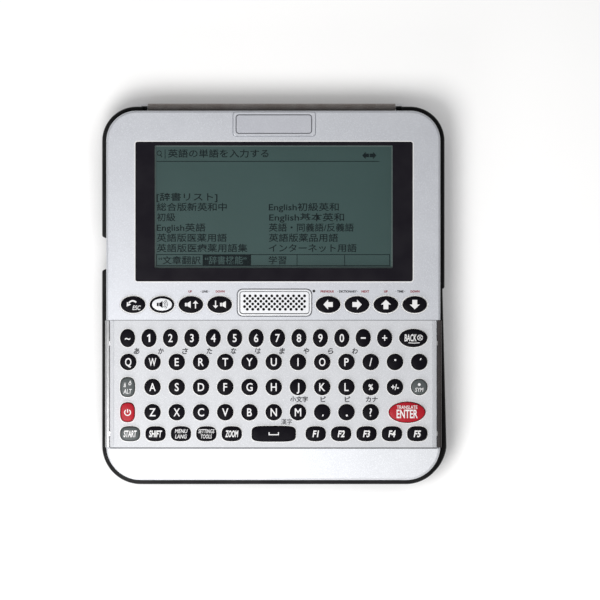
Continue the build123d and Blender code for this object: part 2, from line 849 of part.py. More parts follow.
def backlight():
    """Light guide behind the display glass."""
    return slab(display_plan(glass_width, glass_length), backlight_z, backlight_z + backlight_thickness)


def lcd_holder():
    """Tray that holds the display glass and the light guide against the face plate."""
    grow = holder_play + holder_wall
    tray = slab(display_plan(glass_width, glass_length, grow), holder_z, inner_face_z - fit / 2)
    hollow = display_plan(glass_width, glass_length, holder_play)
    return tray - slab(hollow, backlight_z - fit / 2, inner_face_z)


def badge_plate():
    """Raised plate above the screen, left bare."""
    plate = slab(badge_plan(), face_z - badge_seat + fit / 2, face_z + badge_stand)
    return chamfer(plate.edges().group_by(Axis.Z)[-1], badge_stand)


def grille_holes():
    """Plans of the grille's holes: rows of twelve and eleven in turn."""
    holes = []
    for line in range(grille_rows):
        count = grille_columns - line % 2
        y = grille_y + (line - (grille_rows - 1) / 2) * grille_pitch_y
        for column in range(count):
            x = grille_x + (column - (count - 1) / 2) * grille_pitch_x
            holes.append(place(x, y, RegularPolygon(grille_hole_radius, grille_hole_sides)))
    return holes


def speaker_grille():
    """Perforated insert in front of the speaker, with a raised rim round its field."""
    top_z = face_z + grille_stand
    seat_z = face_z - grille_seat + fit / 2
    field_z = top_z - grille_field_sink
    plate = slab(grille_plan() - grille_holes(), seat_z, field_z)
    return plate + slab(grille_plan() - grille_field(), seat_z, top_z)


def speaker():
    """Slim speaker under the grille, with a round magnet."""
    top_z = inner_face_z - fit
    plan = place(grille_x, grille_y, soft_rectangle(speaker_width, speaker_length, speaker_corner))
    case = slab(plan, top_z - speaker_height, top_z)
    magnet = place(grille_x, grille_y, post_plan(speaker_magnet_radius))
    return case + slab(magnet, top_z - speaker_height - speaker_magnet_height, top_z - speaker_height)


def microphone():
    """Microphone capsule on the key board, under its hole in the face."""
    return slab(place(mic_x, mic_y, post_plan(mic_radius)), key_board_z + key_board_thickness, inner_face_z - fit)


def key_board_plan():
    """Plan shared by the key board and the silicone sheet, cut out round the speaker."""
    half = key_board_width / 2
    plan = block_plan(-half, half, key_board_low_y, key_board_high_y)
    room = speaker_width / 2 + notch_play
    low_y = grille_y - speaker_length / 2 - notch_play
    return plan - block_plan(grille_x - room, grille_x + room, low_y, key_board_high_y + cut_over)


def keypad_board():
    """Circuit board under the keys, screwed to posts on the front cover."""
    board = slab(key_board_plan(), key_board_z, key_board_z + key_board_thickness)
    return board - posts(
        key_board_screw_places, board_screw_radius + 2 * screw_fit, key_board_z, key_board_z + key_board_thickness
    )


def keypad_sheet():
    """Silicone sheet with a raised strip under each row of keys."""
    plan = key_board_plan()
    plan -= at_places(post_plan(board_post_radius + notch_play), key_board_screw_places)
    plan -= place(mic_x, mic_y, post_plan(mic_radius + notch_play))
    strips = []
    strip_top = key_bottom_z - key_travel_room
    half = key_board_width / 2 - sheet_margin
    for y in (number_y, upper_y, middle_y, lower_y, bottom_y):
        strips.append(slab(place(0, y, Rectangle(2 * half, sheet_strip)), sheet_z, strip_top))
    for left_x in (nav_left_x, nav_right_x):
        middle_x = left_x + nav_pitch * 3 / 2
        strip = Rectangle(nav_pitch * 3 + sheet_strip, sheet_strip)
        strips.append(slab(place(middle_x, nav_y, strip), sheet_z, strip_top))
    return slab(plan, sheet_z, sheet_z + sheet_thickness) + strips


def main_board():
    """Main circuit board, notched round the casing posts."""
    half = board_width / 2
    plan = block_plan(-half, half, board_low_y, board_high_y)
    plan -= at_places(post_plan(casing_post_radius + notch_play), casing_screw_places)
    plan -= at_places(post_plan(board_screw_radius + 2 * screw_fit), board_screw_places)
    return slab(plan, board_z, board_top_z)


def display_cable():
    """Ribbon that folds back from the main board to the display tray."""
    low_z = board_top_z + ribbon_play
    high_z = holder_z - ribbon_play
    bend = (high_z - low_z) / 2
    middle_z = (low_z + high_z) / 2
    outer = place(ribbon_bend_y, middle_z, Circle(bend))
    outer += block_plan(ribbon_start_y, ribbon_bend_y, low_z, high_z)
    inner = place(ribbon_bend_y, middle_z, Circle(bend - ribbon_thickness))
    inner += block_plan(
        ribbon_start_y - cut_over, ribbon_bend_y, low_z + ribbon_thickness, high_z - ribbon_thickness
    )
    return bar(outer - inner, -ribbon_width / 2, ribbon_width / 2)


def earphone_jack():
    """Jack on the main board, with a round nose through the left side and a blind bore."""
    nose_x = -body_width / 2 + jack_recess
    case_x = -body_width / 2 + wall + fit
    end_x = nose_x + jack_bore_length
    half_width = jack_case_width / 2
    z_range = (jack_z - jack_case_height / 2, jack_z + jack_case_height / 2)
    case = block((case_x, end_x + jack_end_wall), (jack_y - half_width, jack_y + half_width), z_range)
    case += bar(place(jack_y, jack_z, RegularPolygon(jack_nose_radius, barrel_sides)), nose_x, case_x)
    return case - side_bore(jack_bore_radius, nose_x, end_x)


def usb_profile(shrink):
    """Mouth of the USB socket, with its two lower corners cut off."""
    width = usb_width / 2 - shrink
    height = usb_height / 2 - shrink
    return Polygon(
        (usb_y - width, usb_z + height),
        (usb_y - width, usb_z - height + usb_corner),
        (usb_y - width + usb_corner, usb_z - height),
        (usb_y + width - usb_corner, usb_z - height),
        (usb_y + width, usb_z - height + usb_corner),
        (usb_y + width, usb_z + height),
        align=None,
    )


def usb_socket():
    """Small USB socket under the main board, with its contact tongue."""
    mouth_x = body_width / 2 - jack_recess
    back_x = mouth_x - usb_depth
    shell = bar(usb_profile(0.0), back_x, mouth_x)
    shell -= bar(usb_profile(usb_skin), back_x + usb_skin, mouth_x)
    tongue_y = (usb_y - usb_tongue_width / 2, usb_y + usb_tongue_width / 2)
    tongue_z = (usb_z - usb_tongue_height / 2, usb_z + usb_tongue_height / 2)
    return shell + block((back_x, mouth_x - usb_tongue_width / 2), tongue_y, tongue_z)


def card_socket():
    """Tray for an expansion card, open at the right side."""
    half = card_width / 2
    low_z = card_top_z - card_height
    case = block((card_mouth_x - card_depth, card_mouth_x), (card_y - half, card_y + half), (low_z, card_top_z))
    slot_half = card_slot_width / 2
    slot_x = (card_mouth_x - card_depth + card_bottom_skin * 2, card_mouth_x + cut_over)
    slot_z = (low_z + card_bottom_skin, low_z + card_bottom_skin + card_slot_height)
    return case - block(slot_x, (card_y - slot_half, card_y + slot_half), slot_z)


def screw(x, y, head_z, head_height, head_radius, radius, tip_z):
    """Screw with a flat head, turned up or down."""
    shank = slab(place(x, y, post_plan(radius)), *sorted((head_z, tip_z)))
    return shank + slab(place(x, y, post_plan(head_radius)), *sorted((head_z, head_z + head_height)))


def casing_screws():
    """Four screws from the rear shell into the front shell."""
    seat_z = rear_z + casing_head_sink + casing_head_height
    sizes = (seat_z, -casing_head_height, casing_head_radius, casing_screw_radius, casing_screw_tip())
    return group(screw(x, y, *sizes) for x, y in casing_screw_places)


def board_screws():
    """Small screws of the main board, from above, and of the key board, from below."""
    down = (board_top_z, board_head_height, board_head_radius, board_screw_radius, board_top_z - board_screw_length)
    up = (key_board_z, -board_head_height, board_head_radius, board_screw_radius, key_board_z + board_screw_length)
    solids = [screw(x, y, *down) for x, y in board_screw_places]
    return group(solids + [screw(x, y, *up) for x, y in key_board_screw_places])


def all_parts():
    """Every node of the object with its solid."""
    parts = {
        "rear_cover": rear_cover(),
        "front_cover": front_cover(),
        "keyboard_panel": keyboard_panel(),
        "left_side_rail": side_rail(-1),
        "right_side_rail": side_rail(1),
        "bumper_top_left": bumper_top_left(),
        "bumper_top_right": bumper_top_right(),
        "bumper_lower": bumper_lower(),
        "screen_window": screen_window(),
        "lcd_panel": lcd_panel(),
        "backlight": backlight(),
        "lcd_holder": lcd_holder(),
        "display_cable": display_cable(),
        "badge_plate": badge_plate(),
        "speaker_grille": speaker_grille(),
        "speaker": speaker(),
        "microphone": microphone(),
        "keypad_board": keypad_board(),
        "keypad_sheet": keypad_sheet(),
        "main_board": main_board(),
        "earphone_jack": earphone_jack(),
        "usb_socket": usb_socket(),
        "card_socket": card_socket(),
        "battery_pack": battery_pack(),
        "battery_cover": battery_cover(),
        "casing_screws": casing_screws(),
        "board_screws": board_screws(),
        "hinge_link": hinge_link(),
        "body_hinge_pin": hinge_pin(body_axis_z),
        "lid": lid(),
        "lid_hinge_pin": hinge_pin(lid_axis_z),
        "lid_pads": lid_pads(),
    }
    for name, keys in key_layout().items():
        parts[name] = group(key_cap(*key) for key in keys)
    return parts


os.makedirs("parts", exist_ok=True)
for node, shape in all_parts().items():
    export_step(shape, f"parts/{node}.step")
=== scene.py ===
from math import atan2, copysign, cos, hypot, pi, radians, sin, sqrt

import bmesh
import bpy
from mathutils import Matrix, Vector


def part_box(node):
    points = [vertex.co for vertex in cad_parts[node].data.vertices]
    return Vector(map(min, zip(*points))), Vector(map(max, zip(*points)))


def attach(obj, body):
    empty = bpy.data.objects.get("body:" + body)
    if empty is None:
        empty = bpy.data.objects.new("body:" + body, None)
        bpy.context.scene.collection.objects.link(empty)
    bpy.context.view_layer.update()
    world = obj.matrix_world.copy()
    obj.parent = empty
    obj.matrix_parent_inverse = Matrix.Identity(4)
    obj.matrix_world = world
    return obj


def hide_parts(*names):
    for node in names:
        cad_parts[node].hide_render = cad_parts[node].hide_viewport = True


# Electronic translator, dressed for its photograph. Shapes are worked out in millimetres and made in metres.
# +X points right, +Y towards the hinge and +Z up out of the keys, as in the frame.

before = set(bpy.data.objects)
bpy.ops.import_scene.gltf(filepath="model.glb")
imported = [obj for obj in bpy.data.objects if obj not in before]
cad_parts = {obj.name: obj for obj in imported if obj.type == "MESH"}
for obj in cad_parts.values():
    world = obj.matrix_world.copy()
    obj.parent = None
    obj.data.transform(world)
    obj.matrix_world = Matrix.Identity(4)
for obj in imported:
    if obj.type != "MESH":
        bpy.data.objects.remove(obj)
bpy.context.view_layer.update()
mm = 0.001


def node_box(node):
    """Lowest and highest corner of a node, in millimetres."""
    low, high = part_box(node)
    return low / mm, high / mm


# Main sizes, read from the frame
cover_low, cover_high = node_box("front_cover")
panel_low, panel_high = node_box("keyboard_panel")
window_low, window_high = node_box("screen_window")
glass_high = node_box("lcd_panel")[1]
badge_low, badge_high = node_box("badge_plate")
grille_low, grille_high = node_box("speaker_grille")
jack_low, jack_high = node_box("earphone_jack")
key_low, key_high = node_box("enter_key")
half_width = cover_high.x
half_length = cover_high.y
face_z = cover_high.z
parting_z = cover_low.z

# Sizes of the body's plan and its details, as the solids have them
top_corner = 12.3
bottom_corner = 14.0
wall = 1.5
face_thickness = 1.8
panel_seat_gap = 0.2
panel_low_gap = 0.5
panel_ledge = 2.0
rail_height = 3.6
rail_round = 0.7
hole_play = 0.22
window_corner = 0.8
badge_corner = 1.0
badge_field = (31.2, 7.85)
badge_field_corner = 1.3
badge_field_centre = (0.25, 70.03)
grille_corner = 2.15
grille_field = (28.3, 9.0)
grille_field_corner = 1.2
grille_pitch = (2.23, 1.095)
grille_hole_radius = 0.6
microphone = (16.6, 1.75)
microphone_radius = 0.56
jack_nose_radius = 2.75
ear_reach = 77.3
display_width = 97.3
display_length = 50.2
display_corner = 0.3
display_x = 0.1
display_y = 36.15

# Places that cutters reach: over the face, under it and past the sides
above = face_z + 3.0
deep = face_z - 4.0
beside = half_width + 2.0

# Sizes of the finish, how far edges are broken or rounded, play and depth of the seats, and steps of arcs
face_round = 0.9
key_round = 0.55
fine_bevel = 0.2
hair_bevel = 0.05
groove = 0.3
seat_play = 0.1
seat_depth = 0.05
arc_steps = 8
body_steps = 24
merge_distance = 0.0005

# Raised lip round a key hole: how far each ring is from the hole's edge and how high it is. The lips in the
# front shell have a fine groove round them.
panel_lip = ((0.0, -0.15), (0.05, 0.02), (0.10, 0.05), (0.26, 0.05), (0.34, 0.0))
shell_lip = panel_lip[:4] + ((0.36, 0.0), (0.42, -0.04), (0.50, 0.0))
lip_seat_floor, lip_seat_rim, lip_seat_depth = 0.36, 0.62, 0.12

# Side of the keyboard panel, a bevel and a fine groove: how far in each ring is and how far under the top
panel_side = ((0.0, 0.45), (1.35, 0.06), (1.5, 0.18), (1.65, 0.0))

# Key caps: width, length and form of the superellipse, from 2 for an oval to more for a squarer cap
cap_points = 40
oval, pill, bar_like = 2.0, 2.7, 4.5
caps = {
    "nav": (9.6, 6.4, oval), "number": (5.7, 6.95, oval), "letter": (6.25, 6.25, oval),
    "tall": (5.7, 7.65, pill), "wide": (7.8, 5.65, pill), "back": (11.1, 7.0, oval),
    "enter": (14.7, 8.25, oval), "space": (17.6, 6.0, bar_like),
}

# Node of each key or row of keys: its cap, its finish and one legend for each key, where it isn't drawn
drawn = ("",)
key_nodes = {
    "escape_key": ("nav", "black", drawn),
    "speak_key": ("nav", "white", drawn),
    "volume_up_key": ("nav", "black", drawn),
    "volume_down_key": ("nav", "black", drawn),
    "left_key": ("nav", "black", drawn),
    "right_key": ("nav", "black", drawn),
    "up_key": ("nav", "black", drawn),
    "down_key": ("nav", "black", drawn),
    "number_keys": ("number", "black", tuple("~1234567890–+")),
    "backspace_key": ("back", "black", drawn),
    "upper_letter_keys": ("letter", "black", tuple("QWERTYUIOP/•´")),
    "alt_key": ("tall", "grey", drawn),
    "middle_letter_keys": ("letter", "black", tuple("ASDFGHJKL%") + ("+/-",)),
    "symbol_key": ("letter", "grey", drawn),
    "power_key": ("tall", "red", drawn),
    "lower_letter_keys": ("letter", "black", tuple("ZXCVBNM,.?")),
    "enter_key": ("enter", "red", drawn),
    "start_key": ("wide", "grey", ("START",)),
    "shift_key": ("wide", "black", ("SHIFT",)),
    "menu_key": ("wide", "black", drawn),
    "tools_key": ("wide", "black", drawn),
    "zoom_key": ("wide", "black", ("ZOOM",)),
    "space_key": ("space", "black", drawn),
    "f1_key": ("wide", "black", ("F1",)),
    "f2_key": ("wide", "black", ("F2",)),
    "f3_key": ("wide", "black", ("F3",)),
    "f4_key": ("wide", "black", ("F4",)),
    "f5_key": ("wide", "black", ("F5",)),
}


# Finishes

def node_setter(tree):
    """Short way to add a node with its settings and links: links are (input name, output socket)."""
    def add(kind, settings=None, values=None, links=()):
        node = tree.nodes.new(kind)
        for key, value in (settings or {}).items():
            setattr(node, key, value)
        for key, value in (values or {}).items():
            node.inputs[key].default_value = value
        for key, socket in links:
            tree.links.new(socket, node.inputs[key])
        return node
    return add


def empty_material(name):
    """New material, the function that adds its nodes, and the place on the object for its patterns."""
    material = bpy.data.materials.new(name)
    material.use_nodes = True
    material.node_tree.nodes.clear()
    add = node_setter(material.node_tree)
    return material, add, add("ShaderNodeTexCoord").outputs["Object"]


def calculated(add, operation, *terms, kind="ShaderNodeMath"):
    """Result of a node that calculates; its terms are sockets or numbers."""
    links = [(place, term) for place, term in enumerate(terms) if isinstance(term, bpy.types.NodeSocket)]
    linked_places = [place for place, term in links]
    numbers = {place: term for place, term in enumerate(terms) if place not in linked_places}
    return add(kind, {"operation": operation}, numbers, links).outputs[0]


def noise(add, place, size, detail=3.0, stretch=None):
    """Noise whose blotches are about size millimetres across."""
    if stretch:
        mapping = add("ShaderNodeMapping", values={"Scale": stretch}, links=[("Vector", place)])
        place = mapping.outputs["Vector"]
    values = {"Scale": 1 / (size * mm), "Detail": detail, "Roughness": 0.55}
    return add("ShaderNodeTexNoise", values=values, links=[("Vector", place)]).outputs["Fac"]


def ramp(add, fac, low, high, value_low, value_high):
    """Value that goes from one number to another while fac goes from low to high."""
    values = {"From Min": low, "From Max": high, "To Min": value_low, "To Max": value_high}
    return add("ShaderNodeMapRange", values=values, links=[("Value", fac)]).outputs["Result"]


def blend_colors(add, fac, first, second):
    """Colour between two colours; either may be a socket."""
    node = add("ShaderNodeMix", {"data_type": "RGBA"})
    tree = node.id_data
    tree.links.new(fac, node.inputs["Factor"])
    for name, value in (("A", first), ("B", second)):
        socket = [s for s in node.inputs if s.name == name and s.type == "RGBA"][0]
        if isinstance(value, bpy.types.NodeSocket):
            tree.links.new(value, socket)
        else:
            socket.default_value = (*value, 1.0)
    return [s for s in node.outputs if s.type == "RGBA"][0]


def shaded(add, links, fixed=None):
    """Last nodes of a material: a shader with its links, and with values that are the same all over."""
    shader = add("ShaderNodeBsdfPrincipled", None, fixed, links)
    add("ShaderNodeOutputMaterial", links=[("Surface", shader.outputs["BSDF"])])


def surface(name, color, shade, rough, blotch=9.0, grain=0.25, bump=0.01, stretch=None, fleck=None,
            fixed=None):
    """Moulded, painted or metal finish: two close colours in blotches, uneven gloss and a fine grain.

    rough is the lowest and highest roughness. blotch, grain and bump are in millimetres. fleck is a colour
    and the share of the surface that it covers. fixed holds shader values that are the same all over.
    """
    material, add, place = empty_material(name)
    broad = noise(add, place, blotch, 2.0, stretch)
    fine = noise(add, place, grain, 4.0, stretch)
    tint = blend_colors(add, ramp(add, broad, 0.35, 0.65, 0.0, 1.0), color, shade)
    if fleck:
        fleck_color, share = fleck
        spots = ramp(add, noise(add, place, 2 * grain, 1.0), 1.0 - share, 1.04 - share, 0.0, 1.0)
        tint = blend_colors(add, spots, tint, fleck_color)
    gloss = ramp(add, fine, 0.3, 0.7, *rough)
    relief = add("ShaderNodeBump", None, {"Strength": 0.35, "Distance": bump * mm}, [("Height", fine)])
    shaded(add, [("Base Color", tint), ("Roughness", gloss), ("Normal", relief.outputs["Normal"])], fixed)
    return material


def silver_paint(name, color, shade, metal=0.22, rough=(0.32, 0.44)):
    """Silver paint with fine metal flakes under a thin clear coat."""
    return surface(
        name, color, shade, rough, blotch=14.0, grain=0.12, bump=0.004,
        fleck=([min(1.0, 1.18 * part) for part in color], 0.42),
        fixed={"Metallic": metal, "Coat Weight": 0.2, "Coat Roughness": 0.25},
    )


def display_material():
    """Grey-green display glass: an even tint under a faint grid of pixels."""
    material, add, place = empty_material("Display_glass")
    broad = ramp(add, noise(add, place, 30.0, 2.0), 0.3, 0.7, 0.0, 1.0)
    tint = blend_colors(add, broad, (0.060, 0.124, 0.117), (0.067, 0.136, 0.129))
    axes = add("ShaderNodeSeparateXYZ", links=[("Vector", place)]).outputs
    pixel = 0.3 * mm
    for axis in "XY":
        cell = calculated(add, "PINGPONG", axes[axis], pixel / 2)
        line = ramp(add, cell, 0.0, 0.08 * pixel, 0.25, 0.0)
        tint = blend_colors(add, line, tint, (0.112, 0.172, 0.165))
    gloss = ramp(add, noise(add, place, 0.4), 0.3, 0.7, 0.30, 0.38)
    shaded(add, [("Base Color", tint), ("Roughness", gloss)], {"Specular IOR Level": 0.35})
    return material


def clear_material():
    """Clear pane: mostly see-through, with a soft gloss and faint smears."""
    material, add, place = empty_material("Clear_pane")
    gloss = ramp(add, noise(add, place, 22.0), 0.35, 0.65, 0.03, 0.09)
    shaded(add, [("Roughness", gloss)], {"Base Color": (0.02, 0.025, 0.03, 1.0), "Alpha": 0.12, "IOR": 1.49})
    return material


def board_material():
    """Green circuit board with fine tracks under its lacquer."""
    material, add, place = empty_material("Circuit_board")
    wave = add("ShaderNodeTexWave", {"bands_direction": "DIAGONAL"}, {"Scale": 250.0, "Distortion": 6.0},
               [("Vector", place)]).outputs["Fac"]
    tracks = ramp(add, wave, 0.60, 0.66, 0.0, 1.0)
    tint = blend_colors(add, tracks, (0.012, 0.085, 0.040), (0.030, 0.150, 0.070))
    relief = add("ShaderNodeBump", None, {"Strength": 0.4, "Distance": 0.03 * mm}, [("Height", wave)])
    gloss = ramp(add, noise(add, place, 1.5), 0.3, 0.7, 0.28, 0.45)
    shaded(add, [("Base Color", tint), ("Roughness", gloss), ("Normal", relief.outputs["Normal"])])
    return material


def floor_material():
    """White sheet: nearly white to the camera, with the lamps' soft shadow and a painted contact shade from
    ambient occlusion, darkest beside the object.
    """
    shadow_reach = 14 * mm
    own_light = 0.34
    material, add, place = empty_material("White_sheet")
    tint = blend_colors(add, noise(add, place, 60.0), (0.90, 0.90, 0.90), (0.93, 0.93, 0.93))
    openness = add("ShaderNodeAmbientOcclusion", None, {"Distance": shadow_reach}).outputs["AO"]
    # Painted contact shade: tint and own light are darkened where the ambient occlusion finds the object near
    bright = ramp(add, openness, 0.45, 0.95, 0.58, 1.0)
    tint = add("ShaderNodeVectorMath", {"operation": "SCALE"}, None, [("Vector", tint), ("Scale", bright)])
    matt = add("ShaderNodeBsdfDiffuse", links=[("Color", tint.outputs["Vector"])])
    rays = add("ShaderNodeLightPath").outputs
    seen = calculated(add, "MAXIMUM", rays["Is Camera Ray"], rays["Is Glossy Ray"])
    seen = calculated(add, "MAXIMUM", seen, rays["Is Transmission Ray"])
    strength = calculated(add, "MULTIPLY", calculated(add, "MULTIPLY", seen, own_light), bright)
    glow = add("ShaderNodeEmission", None, {"Color": (1.0, 1.0, 1.0, 1.0)}, [("Strength", strength)])
    summed = add("ShaderNodeAddShader", links=[(0, matt.outputs["BSDF"]), (1, glow.outputs["Emission"])])
    add("ShaderNodeOutputMaterial", links=[("Surface", summed.outputs["Shader"])])
    return material


finishes = {
    "silver": silver_paint("Silver_paint", (0.622, 0.642, 0.69), (0.593, 0.612, 0.66)),
    "panel": silver_paint("Panel_silver", (0.645, 0.66, 0.693), (0.615, 0.63, 0.663), 0.05, (0.45, 0.58)),
    # Near-white copy of the panel paint for the raised lips round holes: a painted highlight
    "lip": silver_paint("Lip_painted_highlight", (0.92, 0.92, 0.92), (0.92, 0.92, 0.92), 0.05, (0.45, 0.58)),
    # Slightly darker copy of the face silver for the badge's sunk field: painted shade
    "badge": silver_paint("Badge_painted_shade", (0.57, 0.585, 0.637), (0.54, 0.555, 0.608)),
    "grille": silver_paint("Grille_silver", (0.825, 0.84, 0.877), (0.795, 0.81, 0.847)),
    "rear": silver_paint("Rear_silver", (0.75, 0.765, 0.81), (0.705, 0.72, 0.765)),
    # Lighter copy of the face silver for the shell's lower part, below the keyboard panel: painted light
    "grip_painted_light": silver_paint("Grip_painted_light", (0.75, 0.77, 0.81), (0.72, 0.74, 0.78)),
    # Lit and shaded copies of one rail finish: the lighter one is painted light, the near-black one painted
    # shade
    "rail": surface("Rail_painted_light", (0.435, 0.44, 0.45), (0.375, 0.38, 0.39), (0.16, 0.26),
                    fixed={"Metallic": 0.2}),
    "rail_painted_shade": surface("Rail_painted_shade", (0.083, 0.075, 0.075), (0.06, 0.054, 0.054), (0.2, 0.3),
                         fixed={"Metallic": 0.6, "Specular IOR Level": 0.2}),
    "clip": surface("Clip_bright", (0.48, 0.48, 0.495), (0.42, 0.42, 0.435), (0.2, 0.3),
                    fixed={"Metallic": 0.6}),
    # Grey-black sheet for the floors of grooves and gaps: painted shadow
    "groove": surface("Groove_painted_shadow", (0.165, 0.165, 0.18), (0.12, 0.12, 0.135), (0.55, 0.7)),
    "rubber": surface(
        "Bumper_rubber", (0.0135, 0.0135, 0.0142), (0.021, 0.021, 0.022), (0.36, 0.52), grain=0.35,
        bump=0.012, fleck=((0.024, 0.024, 0.026), 0.28), fixed={"Specular IOR Level": 0.06},
    ),
    "pad": surface("Pad_rubber", (0.03, 0.03, 0.03), (0.045, 0.045, 0.045), (0.6, 0.8), grain=0.3, bump=0.03),
    "border": surface("Window_border", (0.0105, 0.009, 0.0135), (0.015, 0.0135, 0.018), (0.10, 0.18),
                      fixed={"Specular IOR Level": 0.15}),
    "black": surface("Key_black", (0.0053, 0.0045, 0.0075), (0.0083, 0.0075, 0.0105), (0.30, 0.42),
                     bump=0.006, fixed={"Specular IOR Level": 0.035}),
    "cloth": surface("Grille_cloth", (0.009, 0.009, 0.009), (0.015, 0.015, 0.015), (0.8, 0.9), grain=0.3,
                     bump=0.05),
    "white": surface("Key_white", (0.90, 0.92, 0.92), (0.855, 0.877, 0.915), (0.30, 0.42), bump=0.006),
    "grey": surface("Key_grey", (0.081, 0.093, 0.095), (0.099, 0.112, 0.114), (0.30, 0.42), bump=0.006,
                    fixed={"Specular IOR Level": 0.2}),
    "red": surface("Key_red", (0.405, 0.009, 0.021), (0.495, 0.015, 0.028), (0.28, 0.40), bump=0.006,
                   fixed={"Specular IOR Level": 0.15}),
    "legend": surface("Legend_white", (0.92, 0.92, 0.92), (0.90, 0.90, 0.92), (0.45, 0.6), blotch=1.5),
    "print_dark": surface("Print_dark", (0.015, 0.015, 0.021), (0.03, 0.03, 0.039), (0.5, 0.6), blotch=1.5),
    "print_red": surface("Print_red", (0.24, 0.018, 0.033), (0.33, 0.038, 0.053), (0.5, 0.6), blotch=1.5),
    "ink": surface("Display_ink", (0.0045, 0.0135, 0.015), (0.0075, 0.018, 0.0195), (0.35, 0.45), blotch=3.0,
                   fixed={"Specular IOR Level": 0.1}),
    "ink_light": surface("Display_light", (0.15, 0.217, 0.203), (0.165, 0.232, 0.217), (0.35, 0.45),
                         blotch=3.0),
    "hinge": surface(
        "Hinge_dark", (0.27, 0.235, 0.217), (0.33, 0.30, 0.285), (0.42, 0.58), blotch=5.0, grain=0.2,
        fleck=((0.495, 0.45, 0.427), 0.35),
    ),
    "steel": surface(
        "Pin_steel", (0.55, 0.55, 0.56), (0.48, 0.48, 0.49), (0.22, 0.34), stretch=(0.05, 1.0, 1.0),
        fixed={"Metallic": 1.0},
    ),
    "screw": surface("Screw_steel", (0.30, 0.30, 0.31), (0.24, 0.24, 0.25), (0.28, 0.42),
                     fixed={"Metallic": 1.0}),
    "socket": surface("Socket_black", (0.018, 0.018, 0.019), (0.028, 0.028, 0.03), (0.4, 0.55)),
    "plated": surface(
        "Socket_plated", (0.58, 0.58, 0.58), (0.50, 0.50, 0.50), (0.2, 0.35), stretch=(0.1, 1.0, 1.0),
        fixed={"Metallic": 1.0},
    ),
    "sheet": surface("Silicone_sheet", (0.20, 0.20, 0.21), (0.23, 0.23, 0.24), (0.55, 0.7)),
    "holder": surface("Tray_white", (0.68, 0.68, 0.66), (0.64, 0.64, 0.62), (0.4, 0.55)),
    "guide": surface("Light_guide", (0.74, 0.77, 0.77), (0.70, 0.74, 0.74), (0.15, 0.25)),
    "ribbon": surface("Ribbon_amber", (0.46, 0.19, 0.03), (0.40, 0.15, 0.02), (0.2, 0.35),
                      stretch=(1.0, 0.1, 1.0)),
    "foil": surface("Battery_foil", (0.55, 0.56, 0.57), (0.48, 0.49, 0.50), (0.25, 0.45), blotch=4.0,
                    bump=0.05, fixed={"Metallic": 0.9}),
    "magnet": surface("Speaker_black", (0.02, 0.02, 0.02), (0.035, 0.035, 0.035), (0.4, 0.6)),
    "board": board_material(),
    "display": display_material(),
    "clear": clear_material(),
}

# Finish of each solid that is shown as it is
plain_nodes = {
    "lcd_panel": "display", "backlight": "guide", "lcd_holder": "holder", "display_cable": "ribbon",
    "speaker": "magnet", "microphone": "magnet", "keypad_board": "board", "keypad_sheet": "sheet",
    "main_board": "board", "battery_pack": "foil", "board_screws": "screw", "body_hinge_pin": "steel",
    "lid_hinge_pin": "steel",
}
for node, finish in plain_nodes.items():
    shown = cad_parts[node]
    for material_slot in shown.material_slots:
        material_slot.material = finishes[finish]


# Plans, as lists of points in millimetres that run anticlockwise

def rounded_plan(reach_x, reach_y, corners, x, y, steps):
    """Rectangle that reaches so far from its middle, with a corner radius for each quarter."""
    points = []
    for quarter, corner in enumerate(corners):
        middle_x = copysign(reach_x - corner, cos(quarter * pi / 2 + pi / 4))
        middle_y = copysign(reach_y - corner, sin(quarter * pi / 2 + pi / 4))
        for step in range(steps + 1):
            angle = (quarter + step / steps) * pi / 2
            points.append((x + middle_x + corner * cos(angle), y + middle_y + corner * sin(angle)))
    return points


def soft_box(width, length, corner, x=0.0, y=0.0, steps=arc_steps):
    """Rectangle with rounded corners."""
    return rounded_plan(width / 2, length / 2, [corner] * 4, x, y, steps)


def body_plan(inset=0.0):
    """Plan of the body, smaller by inset all round."""
    corners = [corner - inset for corner in (top_corner, top_corner, bottom_corner, bottom_corner)]
    return rounded_plan(half_width - inset, half_length - inset, corners, 0.0, 0.0, body_steps)


def display_plan(grow=0.0):
    """Plan of the display's lit field, larger by grow all round."""
    width = display_width + 2 * grow
    length = display_length + 2 * grow
    return soft_box(width, length, display_corner, display_x, display_y)


def cap_plan(cap, x, y, grow=0.0):
    """Plan of a key cap or, larger by grow, of its hole."""
    width, length, form = cap
    points = []
    for step in range(cap_points):
        angle = 2 * pi * step / cap_points
        across = copysign(abs(cos(angle)) ** (2 / form), cos(angle))
        along = copysign(abs(sin(angle)) ** (2 / form), sin(angle))
        points.append((x + (width / 2 + grow) * across, y + (length / 2 + grow) * along))
    return points


def disc(x, y, radius, sides=24):
    """Circle as a regular polygon."""
    angles = [2 * pi * side / sides for side in range(sides)]
    return [(x + radius * cos(angle), y + radius * sin(angle)) for angle in angles]


def key_places(node, cap):
    """Centre of each key in a node, read from the node's box."""
    low, high = node_box(node)
    count = len(key_nodes[node][2])
    first = low.x + cap[0] / 2
    pitch = (high.x - cap[0] / 2 - first) / (count - 1) if count > 1 else 0.0
    return [(first + step * pitch, (low.y + high.y) / 2) for step in range(count)]


# Meshes, made in millimetres

def skin(mesh, rings):
    """Walls through rings that have equally many points; gives back the first and last ring."""
    rows = [[mesh.verts.new(point) for point in ring] for ring in rings]
    for lower, upper in zip(rows, rows[1:]):
        for here in range(len(lower)):
            beyond = (here + 1) % len(lower)
            mesh.faces.new((lower[here], lower[beyond], upper[beyond], upper[here]))
    return rows[0], rows[-1]


def close(mesh, loops):
    """Flat face through one outer loop and any holes in it."""
    edges = []
    for loop in loops:
        for here, vertex in enumerate(loop):
            beyond = loop[(here + 1) % len(loop)]
            edges.append(mesh.edges.get((vertex, beyond)) or mesh.edges.new((vertex, beyond)))
    bmesh.ops.triangle_fill(mesh, edges=edges, use_beauty=True, use_dissolve=False)


